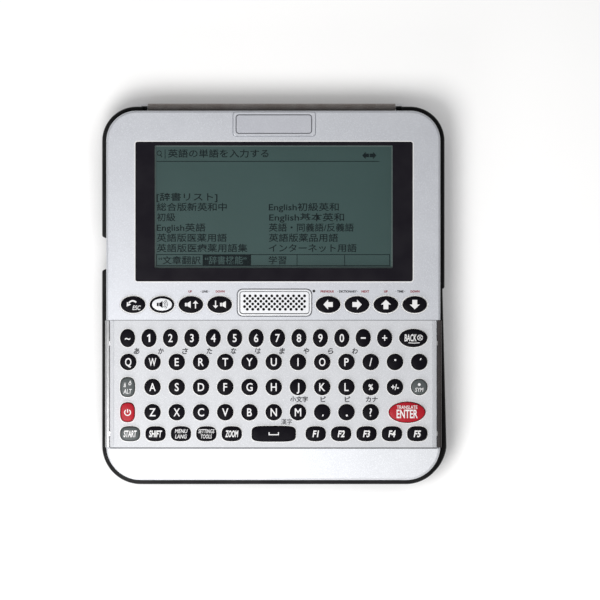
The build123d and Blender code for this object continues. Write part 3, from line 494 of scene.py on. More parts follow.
def capped(mesh, rings):
    """Closed solid through rings, with a flat face at both ends."""
    first, last = skin(mesh, rings)
    close(mesh, [first])
    close(mesh, [last])


def level(points, z):
    """Plan lifted to a height."""
    return [(x, y, z) for x, y in points]


def rounded_top(low_z, high_z, radius, steps=5):
    """Profile of a wall with a rounded top edge: inset and height of each ring."""
    profile = [(0.0, low_z)]
    for step in range(steps + 1):
        angle = step / steps * pi / 2
        profile.append((radius * (1 - cos(angle)), high_z - radius * (1 - sin(angle))))
    return profile


def moulding(mesh, outline, profile, holes=(), edge=((0.0, 0.0),)):
    """Closed solid from an outline that takes an inset, with through holes that take how far they grow.

    edge gives the rings at the upper end of each hole, as how far they grow and their height over the face.
    """
    low, high = skin(mesh, [level(outline(inset), z) for inset, z in profile])
    low_loops = [low]
    high_loops = [high]
    low_z = profile[0][1]
    high_z = profile[-1][1]
    for hole in holes:
        rings = [level(hole(0.0), low_z)]
        rings += [level(hole(grow), high_z + rise) for grow, rise in edge]
        hole_low, hole_high = skin(mesh, rings)
        low_loops.append(hole_low)
        high_loops.append(hole_high)
    close(mesh, low_loops)
    close(mesh, high_loops)


def slab(mesh, points, low_z, high_z):
    """Closed solid with the same plan between two heights."""
    capped(mesh, [level(points, low_z), level(points, high_z)])


def box(mesh, low, high):
    """Block between two corners."""
    slab(mesh, [(low[0], low[1]), (high[0], low[1]), (high[0], high[1]), (low[0], high[1])], low[2], high[2])


def mesh_data(name, mesh):
    """Plain mesh made from a working mesh, which is freed."""
    data = bpy.data.meshes.new(name)
    mesh.to_mesh(data)
    mesh.free()
    return data


def linked(name, data):
    """New object in the scene."""
    item = bpy.data.objects.new(name, data)
    bpy.context.scene.collection.objects.link(item)
    return item


def finished(name, mesh, finish, body, nodes=(), sharp=38.0):
    """Makes the piece: in metres, with clean normals, its finish and the body that it rides on.

    Faces that lie square to an axis stay flat, and the others are shaded smooth up to the sharp angle.
    """
    bmesh.ops.recalc_face_normals(mesh, faces=mesh.faces)
    bmesh.ops.scale(mesh, vec=(mm, mm, mm), verts=mesh.verts)
    data = mesh_data(name, mesh)
    data.materials.append(finishes[finish])
    data.set_sharp_from_angle(angle=radians(sharp))
    square = 0.9998
    for face in data.polygons:
        face.material_index = 0
        face.use_smooth = max(map(abs, face.normal)) < square
    piece = linked(name, data)
    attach(piece, body)
    if nodes:
        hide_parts(*nodes)
    return piece


def second_finish(piece, finish, chosen):
    """Second finish for the faces that chosen picks, by their centre in millimetres and their normal."""
    piece.data.materials.append(finishes[finish])
    for face in piece.data.polygons:
        if chosen(face.center / mm, face.normal):
            face.material_index = 1


def plain_object(name, mesh):
    """Working object that holds a mesh while modifiers act on it."""
    bmesh.ops.recalc_face_normals(mesh, faces=mesh.faces)
    return linked(name, mesh_data(name, mesh))


def applied(helper, others=()):
    """Mesh of a working object with its modifiers applied; the working objects are removed."""
    depsgraph = bpy.context.evaluated_depsgraph_get()
    data = bpy.data.meshes.new_from_object(helper.evaluated_get(depsgraph))
    mesh = bmesh.new()
    mesh.from_mesh(data)
    bpy.data.meshes.remove(data)
    for unneeded in (helper, *others):
        bpy.data.objects.remove(unneeded)
    return mesh


def carved(block, cutter):
    """The first mesh less the second."""
    helper = plain_object("carve_block", block)
    tool = plain_object("carve_tool", cutter)
    modifier = helper.modifiers.new("carve", "BOOLEAN")
    modifier.operation = "DIFFERENCE"
    modifier.solver = "EXACT"
    modifier.use_self = True
    modifier.object = tool
    return applied(helper, (tool,))


def softened(name, node, finish, body, width):
    """Copy of a node's solid with its hard edges slightly broken."""
    hard_angle = radians(35)
    mesh = bmesh.new()
    mesh.from_mesh(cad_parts[node].data)
    bmesh.ops.scale(mesh, vec=(1 / mm, 1 / mm, 1 / mm), verts=mesh.verts)
    bmesh.ops.remove_doubles(mesh, verts=mesh.verts, dist=4 * merge_distance)
    bmesh.ops.dissolve_limit(mesh, angle_limit=radians(0.6), verts=mesh.verts, edges=mesh.edges)
    mesh.normal_update()
    hard = [edge for edge in mesh.edges if edge.is_manifold and edge.calc_face_angle(0.0) > hard_angle]
    bmesh.ops.bevel(
        mesh, geom=hard, offset=width, offset_type="OFFSET", segments=2, profile=0.5, affect="EDGES",
        clamp_overlap=True,
    )
    bmesh.ops.triangulate(mesh, faces=[face for face in mesh.faces if len(face.verts) > 4])
    return finished(name, mesh, finish, body, (node,))


def joined(mesh, other):
    """Adds another mesh to a mesh."""
    data = mesh_data("joined", other)
    mesh.from_mesh(data)
    bpy.data.meshes.remove(data)


# Node trees for what repeats or follows a path

def node_tree(name, inputs):
    """Geometry node tree with named inputs, its first input and its output being geometry."""
    tree = bpy.data.node_groups.new(name, "GeometryNodeTree")
    for label, kind, value in inputs:
        socket = tree.interface.new_socket(label, in_out="INPUT", socket_type="NodeSocket" + kind)
        if value is not None:
            socket.default_value = value
    tree.interface.new_socket("Finished shape", in_out="OUTPUT", socket_type="NodeSocketGeometry")
    add = node_setter(tree)
    return tree, add, add("NodeGroupInput").outputs


def shaped_by(helper, tree, values):
    """Mesh that a node tree makes from a working object, with the tree's inputs set by name."""
    modifier = helper.modifiers.new("shaping", "NODES")
    modifier.node_group = tree
    for item in tree.interface.items_tree:
        if item.item_type == "SOCKET" and item.in_out == "INPUT" and item.name in values:
            modifier[item.identifier] = values[item.name]
    others = [value for value in values.values() if isinstance(value, bpy.types.Object)]
    return applied(helper, others)


def end_tree(add, shape, finish):
    """Last nodes of a tree: real shapes in place of instances, with their finish."""
    solid = add("GeometryNodeRealizeInstances", links=[("Geometry", shape)])
    painted = add("GeometryNodeSetMaterial", links=[("Geometry", solid.outputs[0]), ("Material", finish)])
    add("NodeGroupOutput", links=[("Finished shape", painted.outputs["Geometry"])])


def row_tree():
    """Tree that repeats a shape along a straight row."""
    tree, add, given = node_tree("Straight_row", (
        ("Shape", "Geometry", None), ("First", "Vector", (0.0, 0.0, 0.0)),
        ("Step", "Vector", (1.0, 0.0, 0.0)), ("Count", "Int", 1), ("Finish", "Material", None),
    ))
    row = add("GeometryNodeMeshLine", links=[
        ("Count", given["Count"]), ("Start Location", given["First"]), ("Offset", given["Step"]),
    ])
    placed = add("GeometryNodeInstanceOnPoints", links=[
        ("Points", row.outputs["Mesh"]), ("Instance", given["Shape"]),
    ])
    end_tree(add, placed.outputs["Instances"], given["Finish"])
    return tree


straight_row = row_tree()


def repeated(shape, first, step, count, finish):
    """The shape repeated count times, from the first place on by a step in the plan."""
    return shaped_by(plain_object("row_shape", shape), straight_row, {
        "First": (*first, 0.0), "Step": (*step, 0.0), "Count": count, "Finish": finishes[finish],
    })


# Lettering, icons and other printed marks

def lettering(mesh, words, x, y, height, low_z, high_z, width=None, narrow=0.86, weight=0.03,
              slant=0.0):
    """Adds words centred on x, with their baseline half their height below y, squeezed to any width given."""
    curve = bpy.data.curves.new("words", "FONT")
    curve.body = words
    curve.size = 1.0
    curve.offset = weight
    curve.resolution_u = 3
    curve.shear = slant
    helper = linked("words", curve)
    depsgraph = bpy.context.evaluated_depsgraph_get()
    data = bpy.data.meshes.new_from_object(helper.evaluated_get(depsgraph))
    bpy.data.objects.remove(helper)
    bpy.data.curves.remove(curve)
    capital = 0.70
    scale = height / capital
    spread = [vertex.co.x for vertex in data.vertices]
    middle_x = (min(spread) + max(spread)) / 2
    across = scale * narrow
    if width:
        across = min(across, width / (max(spread) - min(spread)))
    flat = bmesh.new()
    flat.from_mesh(data)
    bpy.data.meshes.remove(data)
    bmesh.ops.remove_doubles(flat, verts=flat.verts, dist=merge_distance)
    for vertex in flat.verts:
        vertex.co = (x + (vertex.co.x - middle_x) * across, y + vertex.co.y * scale - height / 2, low_z)
    raised = bmesh.ops.extrude_face_region(flat, geom=list(flat.faces))
    for item in raised["geom"]:
        if isinstance(item, bmesh.types.BMVert):
            item.co.z = high_z
    joined(mesh, flat)


def stroke(points, width):
    """Outline of a band of the given width along an open line."""
    left = []
    right = []
    for here, (x, y) in enumerate(points):
        before = points[max(here - 1, 0)]
        after = points[min(here + 1, len(points) - 1)]
        along = Vector((after[0] - before[0], after[1] - before[1])).normalized()
        left.append((x - along.y * width / 2, y + along.x * width / 2))
        right.append((x + along.y * width / 2, y - along.x * width / 2))
    return left + right[::-1]


def arc(x, y, radius, start, end, steps=14):
    """Points along an arc, with its angles in degrees."""
    angles = [radians(start + (end - start) * step / steps) for step in range(steps + 1)]
    return [(x + radius * cos(angle), y + radius * sin(angle)) for angle in angles]


def turned(points, angle, x, y, scale=1.0):
    """Small drawing turned by an angle in degrees, scaled and moved to its place."""
    c = cos(radians(angle)) * scale
    s = sin(radians(angle)) * scale
    return [(x + px * c - py * s, y + px * s + py * c) for px, py in points]


arrow_drawing = [(-1.9, -1.0), (0.0, -1.0), (0.0, -2.05), (1.95, 0.0), (0.0, 2.05), (0.0, 1.0), (-1.9, 1.0)]
thin_arrow_drawing = [
    (-1.6, -0.22), (0.4, -0.22), (0.4, -1.1), (1.6, 0.0), (0.4, 1.1), (0.4, 0.22), (-1.6, 0.22),
]
magnet_drawing = [(-1.2, -0.7), (-0.45, -0.7), (-0.45, 0.7), (-1.2, 0.7)]
horn_drawing = [(-0.25, -0.6), (1.15, -1.4), (1.15, 1.4), (-0.25, 0.6)]

# Marks of the keys whose legend is drawn: the one, a dash, dots and a tick
small_marks = {
    "1": [(-0.15, -1.62), (0.5, -1.62), (0.5, 1.62), (0.1, 1.62), (-0.75, 1.0), (-0.75, 0.4), (-0.15, 0.8)],
    "–": [(-1.0, -0.3), (1.0, -0.3), (1.0, 0.3), (-1.0, 0.3)],
    ".": disc(0.15, -1.35, 0.42, 12),
    ",": [(0.0, -1.7), (0.3, -1.7), (0.6, -1.3), (0.55, -0.95), (0.15, -0.95), (-0.05, -1.2)],
    "•": disc(0.1, 0.8, 0.42, 12),
    "´": [(0.2, 0.8), (0.5, 0.7), (1.0, 1.45), (0.5, 1.5)],
}


def speaker_mark(x, y):
    """Outlines of a small loudspeaker."""
    return [turned(drawing, 0, x, y) for drawing in (magnet_drawing, horn_drawing)]


def key_marks(node, x, y):
    """Drawn marks of a key as outlines, and its words, each as (words, x, y, height, width, slant)."""
    shapes = []
    words = []
    if node == "escape_key":
        shapes.append(stroke(arc(x - 0.15, y - 0.3, 1.8, 40, 160), 0.62))
        shapes.append(turned([(-0.7, -1.0), (1.0, 0.0), (-0.7, 1.0)], 235, x - 2.05, y - 0.05))
        words.append(("ESC", x + 1.45, y - 1.3, 1.8, 3.4, 0.2))
    elif node == "speak_key":
        shapes += speaker_mark(x - 0.9, y)
        for radius in (1.6, 2.2, 2.8):
            shapes.append(stroke(arc(x - 0.6, y, radius, -42, 42), 0.2))
    elif node in ("volume_up_key", "volume_down_key"):
        rising = node == "volume_up_key"
        speaker_x, arrow_x, angle = (x - 1.2, x + 1.9, 90) if rising else (x + 1.35, x - 1.7, 270)
        shapes += speaker_mark(speaker_x, y)
        shapes.append(turned(thin_arrow_drawing, angle, arrow_x, y))
    elif node in ("left_key", "right_key", "up_key", "down_key"):
        angle = {"right_key": 0, "up_key": 90, "left_key": 180, "down_key": 270}[node]
        shapes.append(turned(arrow_drawing, angle, x, y))
    elif node == "backspace_key":
        words.append(("BACK", x - 1.15, y + 0.1, 2.8, 4.9, 0.1))
        shapes.append(stroke(arc(x + 2.75, y + 0.15, 1.05, 0, 350, 20), 0.26))
        for start_y, end_y in ((y - 0.4, y + 0.7), (y + 0.7, y - 0.4)):
            shapes.append(stroke([(x + 2.2, start_y), (x + 3.3, end_y)], 0.26))
        shapes.append(stroke([(x - 2.0, y - 1.95), (x + 0.3, y - 2.1), (x + 2.6, y - 1.95)], 0.3))
    elif node == "alt_key":
        words.append(("ä", x - 1.15, y + 0.95, 1.9, 1.6, 0.2))
        words.append(("ô", x + 0.95, y + 1.7, 1.9, 1.6, 0.2))
        words.append(("ALT", x, y - 1.75, 1.9, 3.5, 0.2))
    elif node == "symbol_key":
        shapes.append(disc(x, y + 1.0, 0.6, 12))
        words.append(("SYM", x, y - 1.1, 1.6, 3.4, 0.15))
    elif node == "power_key":
        shapes.append(stroke(arc(x, y - 0.1, 1.2, 125, 415, 20), 0.42))
        shapes.append(stroke([(x, y - 0.2), (x, y + 1.3)], 0.42))
    elif node == "enter_key":
        words.append(("TRANSLATE", x, y + 2.05, 1.4, 8.4, 0.0))
        words.append(("ENTER", x, y - 0.65, 3.4, 8.6, 0.0))
    elif node == "menu_key":
        words.append(("MENU", x + 0.1, y + 1.1, 1.6, 5.2, 0.2))
        words.append(("LANG", x, y - 1.1, 1.6, 4.8, 0.2))
    elif node == "tools_key":
        words.append(("SETTINGS", x, y + 1.05, 1.6, 6.6, 0.2))
        words.append(("TOOLS", x, y - 1.1, 1.6, 4.5, 0.2))
    elif node == "space_key":
        half, up, bar = 2.1, 0.6, 0.4
        outside = [(-half, up), (-half, -up), (half, -up), (half, up)]
        inside = [(half - bar, up), (half - bar, bar - up), (bar - half, bar - up), (bar - half, up)]
        shapes.append(turned(outside + inside, 0, x, y))
    return shapes, words


# Keys with their legends

# Heights on the keys: what the dome adds, the middle of a cap, and the legend from below it to above it
key_dome = 0.10
cap_top = key_high.z - 0.06
legend_low = key_high.z - 0.16
legend_high = key_high.z - 0.01

# Lettering on the keys: height, greatest width, narrowing, weight and slant
legend_forms = {
    "word": (2.6, 5.4, 0.8, 0.03, 0.2), "sign": (2.2, 3.1, 0.86, 0.03, 0.0),
    "letter": (3.25, 2.6, 0.86, 0.012, 0.0), "wide_letter": (3.25, 3.05, 0.86, 0.012, 0.0),
}


def key_cap(mesh, cap):
    """Key with a rounded top edge and a slightly domed top, at the middle of the plan."""
    half = min(cap[0], cap[1]) / 2
    profile = rounded_top(key_low.z, cap_top - key_dome, key_round)
    for share in (0.35, 0.65, 0.85):
        inset = key_round + (half - key_round) * share
        profile.append((inset, cap_top - key_dome * (1 - share) ** 2))
    moulding(mesh, lambda inset: cap_plan(cap, 0.0, 0.0, -inset), profile)


def key_legend(mesh, node, legend, cap, x, y):
    """Legend on one key: drawn marks with their words, or a word, a small mark, a sign or a letter."""
    shapes, words = key_marks(node, x, y)
    for points in shapes:
        slab(mesh, points, legend_low, legend_high)
    for word, word_x, word_y, height, width, slant in words:
        weight = 0.02 if height > 2.5 else 0.01
        lettering(mesh, word, word_x, word_y, height, legend_low, legend_high, width, 0.86, weight, slant)
    if legend in small_marks:
        slab(mesh, turned(small_marks[legend], 0, x, y), legend_low, legend_high)
    elif legend:
        if cap == caps["wide"]:
            form = "word"
        elif legend in ("%", "+/-"):
            form = "sign"
        else:
            form = "wide_letter" if legend in "WM" else "letter"
        height, width, narrow, weight, slant = legend_forms[form]
        lettering(mesh, legend, x, y, height, legend_low, legend_high, width, narrow, weight, slant)


for node, (cap_name, finish, legends) in key_nodes.items():
    cap = caps[cap_name]
    places = key_places(node, cap)
    step_x = places[1][0] - places[0][0] if len(places) > 1 else 0.0
    one_cap = bmesh.new()
    key_cap(one_cap, cap)
    row = repeated(one_cap, places[0], (step_x, 0.0), len(places), finish)
    finished("Cap_" + node, row, finish, node, (node,))
    legend_mesh = bmesh.new()
    for (x, y), legend in zip(places, legends):
        key_legend(legend_mesh, node, legend, cap, x, y)
    finished("Legend_" + node, legend_mesh, "black" if finish == "white" else "legend", node)


def speech_key_ring():
    """Black band round the side of the white key, a little proud of it."""
    proud, rise, depth = 0.02, 0.01, 1.0
    x, y = key_places("speak_key", caps["nav"])[0]
    top_z = cap_top - key_dome
    profile = [(-proud, key_low.z + 0.5), (-proud, top_z - key_round)]
    profile += [(inset - proud, z + rise) for inset, z in rounded_top(key_low.z, top_z, key_round)[2:]]
    mesh = bmesh.new()
    inner = [lambda grow: cap_plan(caps["nav"], x, y, -depth)]
    moulding(mesh, lambda inset: cap_plan(caps["nav"], x, y, -inset), profile, inner)
    finished("Speech_key_ring", mesh, "black", "speak_key")


speech_key_ring()


# Front cover and keyboard panel

def flared(mesh, hole, low_z, bevel):
    """Cutter for a hole whose upper edge is broken."""
    profile = [(0.0, low_z), (0.0, face_z - bevel), (bevel, face_z), (bevel, above)]
    moulding(mesh, hole, profile)


def key_holes(names):
    """Plans of the holes round the keys of some nodes, each taking how far it grows."""
    holes = []
    for node in names:
        cap = caps[key_nodes[node][0]]
        for x, y in key_places(node, cap):
            holes.append(lambda grow, cap=cap, x=x, y=y: cap_plan(cap, x, y, hole_play + grow))
    return holes


nav_nodes = [node for node in key_nodes if key_nodes[node][0] == "nav"]
panel_nodes = [node for node in key_nodes if node not in nav_nodes]


def middle(low, high):
    """Middle of a box in the plan."""
    return (low.x + high.x) / 2, (low.y + high.y) / 2


def plan_of(low, high, corner):
    """Plan of a box with rounded corners that takes how far it grows."""
    width, length = high.x - low.x, high.y - low.y
    x, y = middle(low, high)
    return lambda grow: soft_box(width + 2 * grow, length + 2 * grow, corner + max(grow, 0), x, y)


def field_plan(size, corner, x, y):
    """Plan of a field inside a piece that takes how far it grows, its corners with it."""
    return lambda grow: soft_box(size[0] + 2 * grow, size[1] + 2 * grow, corner + grow, x, y)


window_plan = plan_of(window_low, window_high, window_corner)
badge_plan = plan_of(badge_low, badge_high, badge_corner)
badge_field_plan = field_plan(badge_field, badge_field_corner, *badge_field_centre)
grille_plan = plan_of(grille_low, grille_high, grille_corner)
grille_field_plan = field_plan(grille_field, grille_field_corner, *middle(grille_low, grille_high))


def face_seats():
    """Cutter for the seats and holes in the face."""
    cutter = bmesh.new()
    flared(cutter, lambda grow: window_plan(seat_play + grow), window_low.z - seat_depth, hair_bevel)
    flared(cutter, lambda grow: badge_plan(seat_play + grow), badge_low.z - seat_depth, fine_bevel)
    flared(cutter, lambda grow: grille_plan(groove / 2 + grow), grille_low.z, seat_play)
    seat_z = face_z - lip_seat_depth
    lip_seat = [(0.0, deep), (0.0, seat_z), (lip_seat_floor, seat_z)]
    lip_seat += [(lip_seat_rim, face_z), (lip_seat_rim, above)]
    for hole in key_holes(nav_nodes):
        moulding(cutter, hole, lip_seat)
    flared(cutter, lambda grow: disc(*microphone, microphone_radius + grow), deep, hair_bevel)
    return cutter


def front_cover():
    """Front shell with a rounded edge, carved for everything that sits in its face."""
    rail_play, rail_end_play, nose_depth = 0.05, 0.1, 3
    shell = bmesh.new()
    moulding(shell, body_plan, rounded_top(parting_z, face_z, face_round))

    hollow = bmesh.new()
    slab(hollow, body_plan(wall), parting_z - 1.0, face_z - face_thickness)

    panel_band = bmesh.new()
    band_low = panel_low.y - panel_low_gap
    band_high = panel_high.y + panel_seat_gap
    box(panel_band, (-beside, band_low, panel_low.z), (beside, band_high, above))

    rail_beds = bmesh.new()
    for side in (-1, 1):
        low_x, high_x = sorted((side * (panel_high.x + rail_play), side * beside))
        low_y, high_y = panel_low.y - rail_end_play, panel_high.y + rail_end_play
        box(rail_beds, (low_x, low_y, face_z - rail_height), (high_x, high_y, above))
    opening = panel_high.x - panel_ledge
    box(rail_beds, (-opening, panel_low.y + panel_ledge, deep), (opening, panel_high.y - panel_ledge, above))

    openings = bmesh.new()
    slab(openings, display_plan(0.5), deep, face_z)
    slab(openings, grille_field_plan(0.0), deep, face_z)
    jack_y, jack_z = (jack_low.y + jack_high.y) / 2, (jack_low.z + jack_high.z) / 2
    nose = disc(jack_y, jack_z, jack_nose_radius, 32)
    capped(openings, [[(x, y, z) for y, z in nose] for x in (-beside, nose_depth - half_width)])

    for cutter in (hollow, panel_band, rail_beds, face_seats(), openings):
        shell = carved(shell, cutter)
    shell = finished("Front_shell", shell, "silver", "case", ("front_cover",))
    # Faces below the keyboard panel take the lighter copy of the silver, which is painted light
    second_finish(shell, "grip_painted_light", lambda centre, normal: centre.y < panel_low.y)


front_cover()


def nav_key_lips():
    """Raised lip round each hole in the front shell, in two rows of four, in near-white paint that is a
    painted highlight.
    """
    lip_depth = 0.15
    lips = bmesh.new()
    for names in (nav_nodes[:4], nav_nodes[4:]):
        hole = lambda grow: cap_plan(caps["nav"], 0.0, 0.0, hole_play + grow)
        rings = [level(hole(grow), face_z + rise) for grow, rise in shell_lip]
        rings.append(level(hole(shell_lip[-1][0]), face_z - lip_depth))
        one_lip = bmesh.new()
        skin(one_lip, rings + rings[:1])
        bmesh.ops.remove_doubles(one_lip, verts=one_lip.verts, dist=merge_distance)
        places = [key_places(node, caps["nav"])[0] for node in names]
        step_x = (places[-1][0] - places[0][0]) / (len(places) - 1)
        joined(lips, repeated(one_lip, places[0], (step_x, 0.0), len(places), "silver"))
    finished("Nav_key_lips", lips, "lip", "case")


nav_key_lips()


def keyboard_panel():
    """Panel with bevelled sides and a raised lip round each key hole; the lips' near-white paint is a painted
    highlight.
    """
    width = panel_high.x - panel_low.x
    length = panel_high.y - panel_low.y
    x, y = middle(panel_low, panel_high)
    z = panel_high.z

    def outline(inset):
        half = width / 2 - inset
        low_y, high_y = y - length / 2, y + length / 2
        return [(x + half, high_y), (x - half, high_y), (x - half, low_y), (x + half, low_y)]

    mesh = bmesh.new()
    profile = [(0.0, panel_low.z)] + [(inset, z - depth) for inset, depth in panel_side]
    moulding(mesh, outline, profile, key_holes(panel_nodes), panel_lip)
    panel = finished("Keyboard_panel", mesh, "panel", "case", ("keyboard_panel",))
    # Faces on the lips take the near-white paint, a painted highlight
    second_finish(panel, "lip", lambda centre, normal: centre.z > z + 0.01)


keyboard_panel()


# Window, badge, grille and side rails

def screen_window():
    """Black border with a clear pane in its opening, and a lip round the border in near-white paint, a
    painted highlight.
    """
    edge, pane_thickness, pane_gap = 0.15, 0.5, 0.02
    lip_outer, lip_inner, lip_bevel, lip_rise, lip_depth = 0.5, 0.12, 0.08, 0.04, 0.1
    border = bmesh.new()
    profile = [(0.0, window_low.z), (0.0, window_high.z - edge), (edge, window_high.z)]
    moulding(border, lambda inset: window_plan(-inset), profile, [display_plan])
    finished("Window_border", border, "border", "case", ("screen_window",))
    pane = bmesh.new()
    slab(pane, display_plan(-pane_gap), window_high.z - pane_thickness, window_high.z - pane_gap)
    finished("Window_pane", pane, "clear", "case")
    lip = bmesh.new()
    profile = [(-lip_outer, face_z - lip_depth), (-lip_outer, face_z)]
    profile.append((lip_bevel - lip_outer, face_z + lip_rise))
    moulding(lip, lambda inset: window_plan(-inset), profile, [lambda grow: window_plan(lip_inner + grow)])
    finished("Window_lip", lip, "lip", "case")


screen_window()


def badge_plate():
    """Bare badge: a light frame, and an inner plate behind a fine groove whose dark floor is painted shadow.
    """
    frame_round, field_round, field_sunk, bottom_thickness = 0.2, 0.15, 0.05, 0.15
    inner_edge = ((0.0, -0.15), (0.12, 0.0))
    field = badge_field_plan
    plate = bmesh.new()
    profile = rounded_top(badge_low.z, badge_high.z, frame_round, 3)
    moulding(plate, lambda inset: badge_plan(-inset), profile, [field], inner_edge)
    finished("Badge_frame", plate, "silver", "case", ("badge_plate",))
    inner = bmesh.new()
    profile = rounded_top(badge_low.z, badge_high.z - field_sunk, field_round, 3)
    moulding(inner, lambda inset: field(-groove - inset), profile)
    # The field takes the darker copy of the silver, painted shade
    finished("Badge_field", inner, "badge", "case")
    # Dark floor under the groove round the field: painted shadow
    bottom = bmesh.new()
    slab(bottom, field(0.0), badge_low.z, badge_low.z + bottom_thickness)
    finished("Badge_groove", bottom, "groove", "case")


badge_plate()


def perforation_tree():
    """Tree that drills rows of holes, every other one shifted by half a pitch, through a plate."""
    tree, add, given = node_tree("Perforated_plate", (
        ("Plate", "Geometry", None), ("Centre X", "Float", 0.0), ("Centre Y", "Float", 0.0),
        ("Middle Z", "Float", 0.0), ("Pitch X", "Float", 1.0), ("Pitch Y", "Float", 1.0),
        ("Hole radius", "Float", 0.4), ("Depth", "Float", 2.0), ("Columns", "Int", 12), ("Rows", "Int", 6),
        ("Finish", "Material", None),
    ))

    def math(operation, *terms):
        return calculated(add, operation, *terms)

    columns, rows = given["Columns"], given["Rows"]
    points = add("GeometryNodePoints", links=[("Count", math("MULTIPLY", columns, rows))])
    index = add("GeometryNodeInputIndex").outputs["Index"]
    line = math("FLOOR", math("DIVIDE", index, columns))
    column = math("SUBTRACT", index, math("MULTIPLY", line, columns))
    odd = math("MODULO", line, 2.0)
    middle_column = math("DIVIDE", math("SUBTRACT", columns, 1.0), 2.0)
    middle_line = math("DIVIDE", math("SUBTRACT", rows, 1.0), 2.0)
    across = math("ADD", math("SUBTRACT", column, middle_column), math("MULTIPLY", odd, 0.5))
    up = math("SUBTRACT", line, middle_line)
    x = math("ADD", math("MULTIPLY", across, given["Pitch X"]), given["Centre X"])
    y = math("ADD", math("MULTIPLY", up, given["Pitch Y"]), given["Centre Y"])
    spot = add("ShaderNodeCombineXYZ", links=[("X", x), ("Y", y), ("Z", given["Middle Z"])])
    placed = add("GeometryNodeSetPosition", links=[
        ("Geometry", points.outputs["Geometry"]), ("Position", spot.outputs["Vector"]),
    ])
    last = math("GREATER_THAN", math("ADD", column, odd), math("SUBTRACT", columns, 0.5))
    kept = add("GeometryNodeDeleteGeometry", {"domain": "POINT"}, None, [
        ("Geometry", placed.outputs["Geometry"]), ("Selection", last),
    ])
    drill = add("GeometryNodeMeshCylinder", None, {"Vertices": 14}, [
        ("Radius", given["Hole radius"]), ("Depth", given["Depth"]),
    ])
    drills = add("GeometryNodeInstanceOnPoints", links=[
        ("Points", kept.outputs["Geometry"]), ("Instance", drill.outputs["Mesh"]),
    ])
    solid = add("GeometryNodeRealizeInstances", links=[("Geometry", drills.outputs["Instances"])])
    cut = add("GeometryNodeMeshBoolean", {"operation": "DIFFERENCE"}, None, [
        ("Mesh 1", given["Plate"]), ("Mesh 2", solid.outputs["Geometry"]),
    ])
    end_tree(add, cut.outputs["Mesh"], given["Finish"])
    return tree


def speaker_grille():
    """Perforated plate with a raised rim, both outlined by grooves whose dark floors are painted shadow, over
    black cloth.
    """
    field_sunk, plate_thickness, rim_round, seat_thickness = 0.12, 1.0, 0.2, 0.2
    cloth_low, cloth_high = 1.4, 1.25
    microphone_low, microphone_high = 0.5, 0.2
    inner_edge = ((0.0, -0.12), (0.1, 0.0))
    field = grille_field_plan
    half_groove = groove / 2
    x, y = middle(grille_low, grille_high)
    field_z = grille_high.z - field_sunk
    plate = bmesh.new()
    slab(plate, field(-half_groove), field_z - plate_thickness, field_z)
    drilled = shaped_by(plain_object("grille_plate", plate), perforation_tree(), {
        "Centre X": x, "Centre Y": y, "Middle Z": field_z, "Pitch X": grille_pitch[0],
        "Pitch Y": -grille_pitch[1], "Hole radius": grille_hole_radius, "Depth": 4.0, "Columns": 12,
        "Rows": 6, "Finish": finishes["grille"],
    })
    field_plate = finished("Grille_field", drilled, "grille", "case")
    second_finish(field_plate, "cloth", lambda centre, normal: abs(normal.z) < 0.5)
    rim = bmesh.new()
    profile = rounded_top(grille_low.z, grille_high.z, rim_round, 3)
    inner = [lambda grow: field(half_groove + grow)]
    moulding(rim, lambda inset: grille_plan(-half_groove - inset), profile, inner, inner_edge)
    finished("Grille_rim", rim, "grille", "case", ("speaker_grille",))
    cloth = bmesh.new()
    slab(cloth, field(0.0), field_z - cloth_low, field_z - cloth_high)
    microphone_plan = disc(*microphone, microphone_radius - 0.01)
    slab(cloth, microphone_plan, face_z - microphone_low, face_z - microphone_high)
    finished("Grille_cloth", cloth, "cloth", "case")
    # Dark floor in the groove round the rim: painted shadow
    seat = bmesh.new()
    profile = [(0, grille_low.z), (0, grille_low.z + seat_thickness)]
    moulding(seat, lambda inset: grille_plan(half_groove), profile, [lambda grow: grille_plan(-0.5)])
    finished("Grille_groove", seat, "groove", "case")


speaker_grille()


def side_rails():
    """Glossy strip at each side of the keyboard panel, with a rounded outer edge and two bright clips; the
    left strip's lighter paint is painted light and the right one's near-black paint painted shade.
    """
    clip_width, clip_length, clip_low_y, clip_pitch = 0.5, 2.0, -56.5, 37.0
    strip_thickness = 0.15
    clips = bmesh.new()
    strips = bmesh.new()
    # The left rail takes the painted light copy, the right rail the painted shade copy
    for side, word, finish in ((-1, "left", "rail"), (1, "right", "rail_painted_shade")):
        node = word + "_side_rail"
        low, high = node_box(node)
        outer, inner = (low.x, high.x) if side < 0 else (high.x, low.x)
        section = [(outer - side * inset, z) for inset, z in rounded_top(low.z, high.z, rail_round, 6)]
        section = [(inner, low.z)] + section + [(inner, high.z)]
        rail = bmesh.new()
        capped(rail, [[(x, y, z) for x, z in section] for y in (low.y, high.y)])
        finished("Rail_" + word, rail, finish, "case", (node,))
        clip = bmesh.new()
        outline = lambda inset: soft_box(clip_width - 2 * inset, clip_length - 2 * inset, 0.2, steps=3)
        moulding(clip, outline, rounded_top(panel_low.z, face_z - 0.15, 0.15, 3))
        first = (side * (panel_high.x + 0.2), clip_low_y)
        joined(clips, repeated(clip, first, (0.0, clip_pitch), 2, "clip"))
        x = side * (panel_high.x + 0.22)
        # Dark strip down the gap between the panel and the rail: painted shadow
        box(strips, (x - 0.2, panel_low.y, face_z - rail_height), (x + 0.2, panel_high.y, panel_low.z - 0.3))
    finished("Rail_clips", clips, "clip", "case")
    z = panel_low.z
    # Dark strips in the gaps at the panel's ends: painted shadow
    gaps = ((panel_low.y - panel_low_gap, panel_low.y), (panel_high.y, panel_high.y + panel_seat_gap))
    for low_y, high_y in gaps:
        box(strips, (panel_low.x, low_y, z), (panel_high.x, high_y, z + strip_thickness))
    finished("Panel_gap", strips, "groove", "case")


side_rails()


# Bumper band

